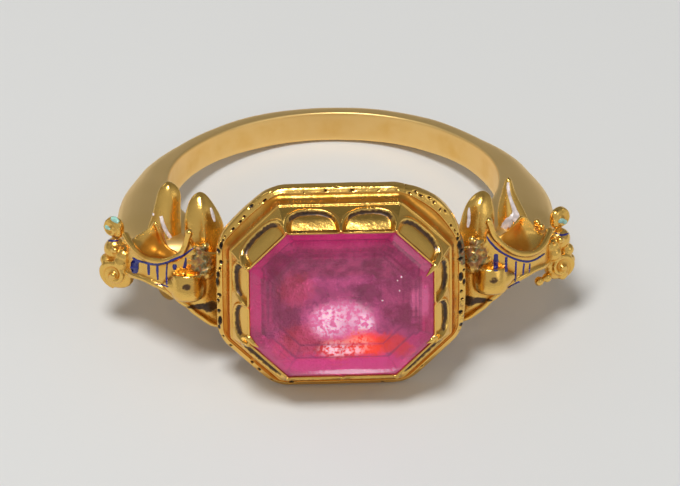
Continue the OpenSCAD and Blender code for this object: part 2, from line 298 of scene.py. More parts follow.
# The spirals on the outer face: place, radius, direction in degrees, hand, number of turns
UPPER_VOLUTE = ((11.28, -5.66, 1.26), 0.6, -48, -1, 0.9)
LOWER_VOLUTE_RIGHT = ((11.24, -5.95, -1.24), 0.84, -62, 1, 1.3)
LOWER_VOLUTE_LEFT = ((11.18, -5.98, -1.08), 0.95, -62, 1, 1.2)
# The granules: x, y, z, radius
GRAINS = [
    (11.3, -5.72, 0.1, 0.58),
    (10.85, -6.1, -0.1, 0.5),
    (11.0, -6.25, -0.45, 0.42),
    (11.34, -6.22, 0.26, 0.2),
    (10.74, -6.55, 0.92, 0.21),
    (11.3, -6.75, 0.5, 0.18),
    (11.72, -5.75, -0.5, 0.34),
    (11.78, -5.6, -1.15, 0.36),
]
# Those that the left shoulder has lost
GRAINS_RIGHT = [
    (11.45, -6.1, -1.75, 0.28),
    (10.64, -6.6, -1.66, 0.25),
    (10.22, -6.84, -1.74, 0.25),
    (10.2, -5.55, 0.95, 0.2),
    (10.4, -5.85, 0.84, 0.18),
]
# The rough lump of solder between the scroll and the bezel: x, y, z, radius
SOLDER = [
    (7.15, -8.55, 1.15, 0.42),
    (6.8, -8.7, 0.75, 0.48),
    (6.75, -8.9, 0.3, 0.45),
    (7.25, -8.8, 0.45, 0.36),
    (6.75, -8.45, 1.4, 0.24),
    (7.45, -8.75, 0.85, 0.22),
]
SOLDER_AT = (6.95, -8.9, 0.85)
SOLDER_REACH = (0.62, 0.9, 0.9)
# Where the lump keeps remains of solder and enamel, and where painted shade makes the fold browner, for light
# bounced inside it
LUMPED = [
    (0.78, SOLDER_AT, SOLDER_REACH),
]
FOLD_BOUNCE_SHADE = [
    (0.8, (9.1, -7.7, 1.1), (1.35, 1.0, 0.85)),
]
# Where painted shade darkens the gaps beside the bezel and at the scroll's turned end
SHADED_GAPS = [
    (1.0, (6.55, -9.1, -1.72), (0.4, 0.8, 0.3)),
    (0.95, (7.0, -9.1, -1.66), (0.45, 0.8, 0.17)),
    (0.8, (7.45, -9.1, -1.6), (0.35, 0.8, 0.08)),
    (0.75, (7.76, -9.95, -0.12), (0.26, 0.3, 0.17)),
]
# Ribbons of enamel, each by where it shows from the front, in millimetres from the finger's axis:
# across, up, width
COBALT_RIGHT = [
    [(7.9, -2.06, 0.07), (8.03, -2.28, 0.12), (8.23, -2.51, 0.14), (8.45, -2.73, 0.14), (8.73, -2.92, 0.13),
     (9.07, -3.1, 0.13), (9.4, -3.24, 0.13), (9.74, -3.33, 0.13), (10.07, -3.35, 0.13), (10.41, -3.25, 0.12),
     (10.69, -3.08, 0.11), (10.88, -2.94, 0.07)],
    [(8.38, -2.97, 0.22), (8.37, -3.26, 0.29), (8.36, -3.54, 0.29), (8.37, -3.86, 0.22)],
    [(8.91, -3.12, 0.15), (8.9, -3.48, 0.16), (8.91, -3.89, 0.15)],
    [(9.41, -3.35, 0.11), (9.39, -3.93, 0.11), (9.36, -4.4, 0.08)],
    [(9.83, -3.45, 0.1), (9.79, -3.79, 0.1), (9.77, -4.05, 0.07)],
    [(10.12, -3.45, 0.08), (10.11, -3.71, 0.08), (10.08, -3.93, 0.06)],
    [(8.98, -4.7, 0.06), (9.4, -4.46, 0.08), (9.85, -4.27, 0.09), (10.24, -4.08, 0.09), (10.69, -3.94, 0.08)],
    [(11.44, -1.88, 0.08), (11.69, -1.98, 0.12), (11.92, -1.97, 0.12), (12.15, -1.88, 0.08)],
]
COBALT_LEFT = [
    [(-10.36, -3.15, 0.1), (-10.15, -3.29, 0.14), (-9.87, -3.37, 0.13), (-9.53, -3.46, 0.13),
     (-9.2, -3.51, 0.13), (-8.92, -3.49, 0.14), (-8.58, -3.4, 0.14), (-8.25, -3.26, 0.14),
     (-7.91, -3.12, 0.14), (-7.63, -2.97, 0.12), (-7.41, -2.8, 0.1), (-7.19, -2.63, 0.06)],
    [(-10.2, -3.29, 0.34), (-10.22, -3.48, 0.49), (-10.23, -3.71, 0.49), (-10.25, -3.96, 0.28)],
    [(-9.54, -3.49, 0.12), (-9.53, -3.76, 0.17), (-9.52, -4.04, 0.12)],
    [(-9.08, -3.51, 0.14), (-9.08, -3.87, 0.15), (-9.05, -4.29, 0.09)],
    [(-8.57, -3.43, 0.09), (-8.61, -3.99, 0.11), (-8.59, -4.55, 0.08)],
    [(-8.18, -3.5, 0.2), (-8.19, -3.62, 0.25), (-8.19, -3.77, 0.19)],
    [(-7.61, -3.15, 0.08), (-7.63, -3.4, 0.16), (-7.69, -3.71, 0.19)],
    [(-9.2, -4.49, 0.06), (-8.86, -4.55, 0.08), (-8.53, -4.65, 0.08)],
    [(-11.99, -2.24, 0.08), (-11.66, -2.27, 0.11), (-11.38, -2.28, 0.11), (-11.09, -2.27, 0.07)],
]
WHITE_RIGHT = [
    [(9.0, 0.72, 0.13), (9.0, 0.5, 0.18), (9.04, 0.2, 0.2), (9.13, -0.13, 0.2), (9.25, -0.47, 0.22),
     (9.34, -0.74, 0.3), (9.36, -0.98, 0.5), (9.2, -1.25, 0.56)],
    [(9.14, -1.15, 0.36), (9.0, -1.36, 0.52), (8.88, -1.6, 0.56), (8.8, -1.82, 0.44), (8.74, -2.04, 0.24)],
    [(6.99, -0.58, 0.09), (6.98, -0.8, 0.17), (6.98, -1.14, 0.18), (6.95, -1.42, 0.19), (6.92, -1.6, 0.11)],
]
WHITE_LEFT = [
    [(-8.89, -1.02, 0.2), (-8.81, -1.36, 0.22), (-8.67, -1.7, 0.23), (-8.47, -2.03, 0.2),
     (-8.28, -2.28, 0.15), (-8.14, -2.45, 0.08)],
    [(-6.34, -0.58, 0.08), (-6.26, -0.8, 0.18), (-6.18, -1.08, 0.18), (-6.12, -1.3, 0.1)],
    [(-9.6, -0.93, 0.1), (-9.42, -0.94, 0.22), (-9.24, -0.92, 0.14)],
]
TURQUOISE_RIGHT = [
    [(11.6, -1.33, 0.16), (11.8, -1.25, 0.3), (12.0, -1.35, 0.2)],
]
TURQUOISE_LEFT = [
    [(-11.46, -1.1, 0.2), (-11.27, -1.19, 0.32), (-11.07, -1.33, 0.2)],
    [(-11.77, -1.5, 0.13), (-11.66, -1.61, 0.22), (-11.52, -1.7, 0.11)],
]

# The viewer, at the photograph's angle to the ring
VIEW_AZIMUTH = -1.7
VIEW_ELEVATION = 26.0
VIEW_DISTANCE = 0.4
PIXELS_PER_MM = 19.4
# Where the finger's axis shows in the picture, and the picture's middle
AXIS_PIXEL = (333.5, 196.5)
MIDDLE_PIXEL = (340, 243)


def linear(code):
    """An sRGB hex value as the linear colour that a shader takes."""
    parts = [int(code[i:i + 2], 16) / 255 for i in (1, 3, 5)]
    return [c / 12.92 if c <= 0.04045 else ((c + 0.055) / 1.055) ** 2.4 for c in parts] + [1.0]


def add_node(tree, kind, settings=None, **links):
    """Adds a node, by Blender's name for its kind without the ShaderNode in front. Settings go on the node.
    Links give each socket a value, a colour's hex value, another node's output, or a node, whose first live
    output is meant."""
    made = tree.nodes.new("ShaderNode" + kind)
    for name, value in (settings or {}).items():
        setattr(made, name, value)
    for name, value in links.items():
        key = int(name[1:]) if name[0] == "i" and name[1:].isdigit() else name.replace("_", " ")
        if isinstance(value, bpy.types.Node):
            value = next(socket for socket in value.outputs if socket.enabled)
        if isinstance(value, bpy.types.NodeSocket):
            tree.links.new(value, made.inputs[key])
        else:
            made.inputs[key].default_value = linear(value) if isinstance(value, str) else value
    return made


def new_material(name):
    """An empty node material and its tree."""
    material = bpy.data.materials.new(name)
    material.use_nodes = True
    material.node_tree.nodes.clear()
    return material, material.node_tree


def deselect():
    """Leaves edit mode and selects nothing."""
    if bpy.context.object and bpy.context.object.mode != "OBJECT":
        bpy.ops.object.mode_set(mode="OBJECT")
    bpy.ops.object.select_all(action="DESELECT")


def pick(ob):
    """Makes one object the selected and active one."""
    deselect()
    ob.select_set(True)
    bpy.context.view_layer.objects.active = ob
    return ob


def from_grid(name, rings, closed_ends=True):
    """A skin through rings of points, each ring closed on itself, with its faces turned outward."""
    count = len(rings[0])
    points = np.concatenate(rings)
    faces = []
    for j in range(len(rings) - 1):
        for i in range(count):
            k = (i + 1) % count
            faces.append((j * count + i, j * count + k, (j + 1) * count + k, (j + 1) * count + i))
    if closed_ends:
        faces.append(tuple(range(count - 1, -1, -1)))
        faces.append(tuple((len(rings) - 1) * count + i for i in range(count)))
    mesh = bpy.data.meshes.new(name)
    mesh.from_pydata([tuple(p) for p in points], [], faces)
    ob = bpy.data.objects.new(name, mesh)
    bpy.context.collection.objects.link(ob)
    pick(ob)
    bpy.ops.object.mode_set(mode="EDIT")
    bpy.ops.mesh.select_all(action="SELECT")
    bpy.ops.mesh.normals_make_consistent(inside=False)
    bpy.ops.object.mode_set(mode="OBJECT")
    return ob


def modify(ob, kind, **settings):
    """Adds one modifier and applies it."""
    pick(ob)
    made = ob.modifiers.new(kind.title(), kind)
    for name, value in settings.items():
        setattr(made, name, value)
    bpy.ops.object.modifier_apply(modifier=made.name)
    return ob


def fuse(name, parts):
    """Joins overlapping closed shapes into one object."""
    deselect()
    for part in parts:
        part.select_set(True)
    bpy.context.view_layer.objects.active = parts[0]
    bpy.ops.object.join()
    parts[0].name = name
    parts[0].data.name = name
    return parts[0]


def coordinates(mesh):
    """The mesh's points as an array."""
    flat = np.empty(len(mesh.vertices) * 3)
    mesh.vertices.foreach_get("co", flat)
    return flat.reshape(-1, 3)


def set_coordinates(mesh, points):
    """Writes the points back."""
    mesh.vertices.foreach_set("co", np.ascontiguousarray(points, dtype=float).ravel())
    mesh.update()


def store(mesh, name, values):
    """Keeps one number for each point, for the materials."""
    layer = mesh.attributes.new(name, "FLOAT", "POINT")
    layer.data.foreach_set("value", np.ascontiguousarray(values, dtype=float))


def mark_hollows(ob, spread):
    """Stores how hollow the surface is at each point: 0.5 is flat, 1 a crevice, 0 an edge that stands out."""
    mesh = ob.data
    points = coordinates(mesh)
    flat = np.empty(len(mesh.edges) * 2, dtype=np.int64)
    mesh.edges.foreach_get("vertices", flat)
    ends = flat.reshape(-1, 2)
    degree = np.bincount(ends.ravel(), minlength=len(points)).astype(float)
    degree[degree == 0] = 1

    def mean_of_neighbours(values):
        """The mean of each value over the points that edges join to it."""
        out = np.empty_like(values)
        for axis in range(values.shape[1]):
            total = np.bincount(ends[:, 0], values[ends[:, 1], axis], len(points))
            total += np.bincount(ends[:, 1], values[ends[:, 0], axis], len(points))
            out[:, axis] = total / degree
        return out

    smooth = points
    for _ in range(spread):
        smooth = 0.3 * smooth + 0.7 * mean_of_neighbours(smooth)
    flat = np.empty(len(points) * 3)
    mesh.vertices.foreach_get("normal", flat)
    rise = ((smooth - points) * flat.reshape(-1, 3)).sum(axis=1)
    store(mesh, "hollow", np.clip(0.5 + rise / 0.12, 0, 1))


def deepen(ob, amount):
    """Raises the hollow value where the amount is higher, which deepens the painted shade there."""
    layer = ob.data.attributes["hollow"]
    values = np.zeros(len(ob.data.vertices))
    layer.data.foreach_get("value", values)
    layer.data.foreach_set("value", np.maximum(values, amount))


def wobble(ob, size, depth, centre=None, reach=None):
    """Slightly uneven surface, as hand-worked metal has: size and depth of the bumps in millimetres, all over
    or round one place on each side of the ring."""
    mesh = ob.data
    points = coordinates(mesh)
    flat = np.empty(len(points) * 3)
    mesh.vertices.foreach_get("normal", flat)
    amount = np.array([noise.noise(Vector(p) / size) for p in points]) * depth
    if centre:
        folded = points.copy()
        folded[:, 0] = np.abs(folded[:, 0])
        amount *= near(folded, centre, reach)
    set_coordinates(mesh, points + flat.reshape(-1, 3) * amount[:, None])


def near(points, centre, reach):
    """How near each point is to a round zone's middle: 1 inside, falling softly to 0 outside."""
    away = np.linalg.norm((points - centre) / reach, axis=1)
    return np.clip(1.6 * (1.35 - away), 0, 1)


def zones(points, rows):
    """How strongly each point lies in the strongest of some zones."""
    return np.max([strength * near(points, place, reach) for strength, place, reach in rows], axis=0)


def soft_step(share):
    """From 0 to 1 without a corner at either end."""
    share = np.clip(share, 0, 1)
    return share * share * (3 - 2 * share)


def finish_piece(ob, material, slot, *replaced):
    """Lays a piece down at its real size, gives it its material and ties it to the frame."""
    ob.data.transform(LAY)
    ob.data.materials.clear()
    ob.data.materials.append(material)
    ob.data.update()
    pick(ob)
    bpy.ops.object.shade_smooth()
    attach(ob, "root")
    if replaced:
        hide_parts(*replaced)
    return ob


def spline(rows, steps):
    """Rows of numbers on one smooth curve through the given rows, with steps rows for each gap."""
    rows = np.array(rows, dtype=float)
    padded = np.vstack([2 * rows[0] - rows[1], rows, 2 * rows[-1] - rows[-2]])
    out = []
    for i in range(1, len(padded) - 2):
        a, b, c, d = padded[i - 1:i + 3]
        for s in np.linspace(0, 1, steps, endpoint=False):
            out.append(0.5 * (2 * b + (c - a) * s + (2 * a - 5 * b + 4 * c - d) * s**2
                              + (3 * b - a - 3 * c + d) * s**3))
    out.append(rows[-1])
    return np.array(out)


# The octagon, as in the solids
HALF_L = STONE_L / 2
HALF_W = STONE_W / 2
CORNERS = np.array([
    (HALF_L, STONE_CUT - HALF_W),
    (HALF_L, HALF_W - STONE_CUT),
    (HALF_L - STONE_CUT, HALF_W),
    (STONE_CUT - HALF_L, HALF_W),
    (-HALF_L, HALF_W - STONE_CUT),
    (-HALF_L, STONE_CUT - HALF_W),
    (STONE_CUT - HALF_L, -HALF_W),
    (HALF_L - STONE_CUT, -HALF_W),
])
SIDES = np.roll(CORNERS, -1, axis=0) - CORNERS
SIDE_LENGTHS = np.linalg.norm(SIDES, axis=1)
OUTWARD = np.stack([SIDES[:, 1], -SIDES[:, 0]], axis=1) / SIDE_LENGTHS[:, None]
BEFORE = np.roll(OUTWARD, 1, axis=0)
MITER = (OUTWARD + BEFORE) / (1 + (OUTWARD * BEFORE).sum(axis=1))[:, None]
HALF_TURN = math.radians(22.5)


def octagon_points(side, share, out):
    """Points on the bezel's outline, moved outward, with rounded corners where it is wide."""
    a = CORNERS[side] + out[:, None] * MITER[side]
    b = CORNERS[(side + 1) % 8] + out[:, None] * MITER[(side + 1) % 8]
    length = np.linalg.norm(b - a, axis=1)
    radius = np.maximum(0, out - ROUND_FROM) * ROUND_GAIN
    pull = -np.clip((out - 0.9) / 0.7, 0, 1) * np.array(BENT_OUT)[side] * np.sin(math.pi * share) ** 1.3
    for distance in (share * length, (1 - share) * length):
        reach = np.clip(radius * math.tan(HALF_TURN) - distance, 0, None)
        pull += radius - np.sqrt(radius**2 - reach**2)
    points = a + share[:, None] * (b - a) - pull[:, None] * OUTWARD[side]
    corner = a - MITER[side] * (radius * (1 - math.cos(HALF_TURN)))[:, None]
    return np.where(share[:, None] == 0, corner, points)


def scoop_rise(place, out, half_width, depth, rim):
    """How far the bezel's slope stands out or is scooped, along its normal, and how much painted shadow lies
    there.
    """
    # Places across and up the scoop, 1 at the arch, give the distance outside the arch in millimetres.
    run = (ARCH_OUT - LIP_OUT) * math.hypot(1, SLOPE)
    x = np.maximum(np.abs(place) / SCOOP_SHARE, 1e-4)
    y = np.maximum((out - LIP_OUT) / (ARCH_OUT - LIP_OUT), 1e-4)
    g = (x**ARCH_POWER + y**ARCH_POWER) ** (1 / ARCH_POWER)
    gx = (x / g) ** (ARCH_POWER - 1)
    gy = (y / g) ** (ARCH_POWER - 1)
    away = (g - 1) / np.sqrt((gx / half_width) ** 2 + (gy / run) ** 2)
    wall = soft_step(-away / SCOOP_WALL)
    floor = depth * (1.0 - SCOOP_TILT * soft_step(y / 0.75))
    floor *= np.clip(y / 0.08, 0, 1)
    bead = rim * np.exp(-(away / SCOOP_RIM) ** 2)
    # Painted shadow lies in a crescent under the arch.
    crescent = np.clip((-away - 0.02) / 0.06, 0, 1) * np.clip(1.5 - (-away - 0.1) / 0.12, 0, 1)
    crescent *= np.clip((y - 0.35) / 0.4, 0, 1)
    return bead - wall * floor, crescent


class RingSizes(bpy.types.PropertyGroup):
    """Sizes of the bezel's ornament and of the surface."""

    scoop_depth: FloatProperty(
        name="Scoop depth", description="Depth of the bezel's scoops, in mm", default=0.33, min=0.05, max=0.4)
    arch_rim: FloatProperty(
        name="Arch rim", description="Height of the thin rim round each scoop, in mm",
        default=0.075, min=0, max=0.15)
    pit_radius: FloatProperty(
        name="Punch mark", description="Radius of the punched marks on the bezel's edge, in mm",
        default=0.1, min=0.03, max=0.2)
    voxel: FloatProperty(
        name="Grain of the cast", description="Finest detail of the fused shoulders, in mm",
        default=0.05, min=0.03, max=0.2)
    unevenness: FloatProperty(
        name="Unevenness", description="Depth of the hand-worked unevenness, in mm",
        default=0.03, min=0, max=0.1)


class RingColours(bpy.types.PropertyGroup):
    """Colours of the metal, the stone and the enamel, as sRGB hex values."""

    # Painted light: a paler copy of the gold, lighter to stand for the light the hoop catches
    lit_pale_gold: StringProperty(name="Pale gold", description="The hoop, rubbed bright", default="#FCD68C")
    gold: StringProperty(name="Gold", description="Polished high-carat gold", default="#F0C266")
    # Painted shade: the deeper gold of light bounced in the hollows, also used for random patches of deeper
    # tone
    deep_shaded_gold: StringProperty(name="Deep gold", description="Gold in the hollows", default="#D88E30")
    # Painted shade in crevices, in dark gaps and under the arches
    crevice_shade: StringProperty(name="Crust", description="Brown dirt in the corners", default="#50351A")
    # Black of the remains, and painted shade in the darkest gaps
    soil_and_shade: StringProperty(name="Soil", description="Old dirt in the deepest places", default="#1C130B")
    rust: StringProperty(name="Rusty remains", description="Red-brown remains of solder", default="#7C4634")
    moss: StringProperty(name="Green remains", description="Grey-green remains of enamel", default="#5A6A58")
    stone: StringProperty(name="Stone", description="Pink tourmaline", default="#FED8EA")
    body: StringProperty(name="Stone's body", description="Foil under most of the stone", default="#D865A8")
    plum: StringProperty(name="Plum", description="Dull patches of the foil", default="#A63A78")
    # Painted glow and painted reflection on the foil
    rose_glow: StringProperty(name="Rose", description="Clean, pale pink foil", default="#F08CC0")
    apricot: StringProperty(name="Apricot", description="Pale part of the orange stain", default="#FFA088")
    # Painted highlights and glints on the foil
    glow: StringProperty(name="Glow", description="Where the foil is bright", default="#FFF6FA")
    ember: StringProperty(name="Ember", description="Orange-red stain on the foil", default="#FF4226")
    magenta: StringProperty(name="Magenta", description="Pink near the stone's edge", default="#FF4CAE")
    cobalt: StringProperty(name="Cobalt enamel", description="Dark blue enamel", default="#10147C")
    white: StringProperty(name="White enamel", description="White enamel", default="#F3E6E4")
    turquoise: StringProperty(name="Turquoise enamel", description="Green-blue enamel", default="#A8DCCB")


# Settings that several nodes share
SOFT = {"interpolation_type": "SMOOTHSTEP"}
COLOUR = {"data_type": "RGBA"}
TIMES_PLUS = {"operation": "MULTIPLY_ADD"}
TIMES = {"operation": "MULTIPLY"}
LARGER = {"operation": "MAXIMUM"}
PLUS = {"operation": "ADD"}


def ring_place(tree):
    """The place on a piece in millimetres, in the ring's own frame."""
    back = Matrix.Rotation(TILT, 3, "X") @ Vector(HOLE["pos_m"]) * -1000
    spot = add_node(tree, "TexCoord").outputs["Object"]
    return add_node(tree, "Mapping", Vector=spot, Location=back, Rotation=(TILT, 0, 0),
                    Scale=(1000, 1000, 1000))


def worn_gold(name, bright, deep, colours, polish, uneven, shade_painted=False):
    """Cast high-carat gold, filed, polished and long in wear: soft mirror gloss and fine scratches, lighter
    on the edges, with random patches of deeper tone. Painted shade makes it deeper and browner in the
    hollows, for light bounced between its faces, and brown-black in crevices; with shade_painted it also
    paints shade where a piece marks it, and carries remains of solder and enamel."""
    material, tree = new_material(name)
    place = ring_place(tree)
    hollow = add_node(tree, "Attribute", {"attribute_name": "hollow"}).outputs["Fac"]
    patches = add_node(tree, "TexNoise", Vector=place, Scale=0.9, Detail=4.0)
    # Painted shade: the hollow value, with random patches of wear, turns the gold deeper and browner, for
    # light bounced between its faces.
    wear_and_hollow = add_node(tree, "Math", TIMES_PLUS, i0=patches, i1=0.5, i2=-0.25)
    wear_and_hollow = add_node(tree, "Math", PLUS, i0=hollow, i1=wear_and_hollow)
    hollow_shade = add_node(tree, "MapRange", SOFT, Value=wear_and_hollow, From_Min=0.45, From_Max=0.82)
    colour = add_node(tree, "Mix", COLOUR, Factor=hollow_shade, A=bright, B=deep)
    # Painted shade: the deepest crevices turn brown-black and lose their metal.
    shade_cover = add_node(tree, "MapRange", SOFT, Value=wear_and_hollow, From_Min=0.9, From_Max=1.1)
    unmetal = shade_cover
    tone = colours.crevice_shade
    if shade_painted:
        grain = add_node(tree, "TexNoise", Vector=place, Scale=4.5, Detail=4.0, Roughness=0.7)
        mottled = add_node(tree, "Math", TIMES_PLUS, i0=grain, i1=1.4, i2=-0.7)
        remains = add_node(tree, "Attribute", {"attribute_name": "remains"}).outputs["Fac"]
        remains = add_node(tree, "Math", PLUS, i0=remains, i1=mottled)
        remains = add_node(tree, "MapRange", SOFT, Value=remains, From_Min=0.45, From_Max=0.85, To_Max=0.85)
        flecks = add_node(tree, "TexNoise", Vector=place, Scale=3.6, Detail=2.0)
        green = add_node(tree, "MapRange", SOFT, Value=flecks, From_Min=0.49, From_Max=0.54)
        black = add_node(tree, "MapRange", SOFT, Value=flecks, From_Min=0.57, From_Max=0.62)
        crumbs = add_node(tree, "Mix", COLOUR, Factor=green, A=colours.rust, B=colours.moss)
        crumbs = add_node(tree, "Mix", COLOUR, Factor=black, A=crumbs, B=colours.soil_and_shade)
        colour = add_node(tree, "Mix", COLOUR, Factor=remains, A=colour, B=crumbs)
        # Painted shade in the gaps and crescents that a piece marks, with the punched marks darkened inside,
        # black where darkest.
        shade_marks = add_node(tree, "Attribute", {"attribute_name": "soil_and_shade"}).outputs["Fac"]
        shade_marks = add_node(tree, "Math", PLUS, i0=shade_marks, i1=mottled)
        gap_shade = add_node(tree, "MapRange", SOFT, Value=shade_marks, From_Min=0.35, From_Max=0.8)
        black = add_node(tree, "MapRange", SOFT, Value=shade_marks, From_Min=0.8, From_Max=1.3)
        shade_cover = add_node(tree, "Math", LARGER, i0=shade_cover, i1=gap_shade)
        tone = add_node(tree, "Mix", COLOUR, Factor=black, A=colours.crevice_shade, B=colours.soil_and_shade)
        dull = add_node(tree, "Math", TIMES, i0=remains, i1=0.9)
        unmetal = add_node(tree, "Math", LARGER, i0=shade_cover, i1=dull)
    colour = add_node(tree, "Mix", COLOUR, Factor=shade_cover, A=colour, B=tone)
    metal = add_node(tree, "Math", TIMES_PLUS, i0=unmetal, i1=-0.75, i2=1.0)
    rough = add_node(tree, "MapRange", SOFT, Value=wear_and_hollow, From_Min=0.2, From_Max=0.9,
                     To_Min=polish, To_Max=polish + 0.17)
    if shade_painted:
        matt = add_node(tree, "Math", TIMES, i0=remains, i1=0.55)
        rough = add_node(tree, "Math", LARGER, i0=rough, i1=matt)
    scratches = add_node(tree, "TexNoise", Vector=place, Scale=9.0, Detail=3.0)
    dents = add_node(tree, "TexNoise", Vector=place, Scale=1.8, Detail=2.0)
    fine = add_node(tree, "Bump", Height=scratches, Strength=uneven, Distance=0.00002)
    bump = add_node(tree, "Bump", Height=dents, Strength=uneven, Distance=0.00008, Normal=fine)
    shader = add_node(tree, "BsdfPrincipled", Base_Color=colour, Roughness=rough, Metallic=metal,
                      Normal=bump)
    add_node(tree, "OutputMaterial", Surface=shader)
    return material


def enamel(name, code):
    """Opaque vitreous enamel, fired into the metal: a hard glassy surface with a faint ripple, a little
    uneven in tone where it is thin."""
    material, tree = new_material(name)
    place = ring_place(tree)
    cloud = add_node(tree, "TexNoise", Vector=place, Scale=2.4, Detail=3.0)
    share = add_node(tree, "MapRange", SOFT, Value=cloud, From_Min=0.3, From_Max=0.7,
                     To_Min=0.6, To_Max=1.2)
    tone = add_node(tree, "VectorMath", {"operation": "SCALE"}, i0=linear(code)[:3], Scale=share)
    ripple = add_node(tree, "TexNoise", Vector=place, Scale=4.0)
    bump = add_node(tree, "Bump", Height=ripple, Strength=0.4, Distance=0.00005)
    shader = add_node(tree, "BsdfPrincipled", Base_Color=tone, Roughness=0.18, IOR=1.55,
                      Coat_Weight=0.3, Normal=bump)
    add_node(tree, "OutputMaterial", Surface=shader)
    return material


def cut_stone(colours):
    """Clear pink tourmaline, cut and polished flat: sharp bright facets over a pink body."""
    material, tree = new_material("pink_tourmaline")
    place = ring_place(tree)
    wear = add_node(tree, "TexNoise", Vector=place, Scale=3.0, Detail=3.0)
    bump = add_node(tree, "Bump", Height=wear, Strength=0.05, Distance=0.00002)
    shader = add_node(tree, "BsdfPrincipled", Base_Color=colours.stone, Roughness=0.0, IOR=1.63,
                      Transmission_Weight=1.0, Normal=bump)
    add_node(tree, "OutputMaterial", Surface=shader)
    return material


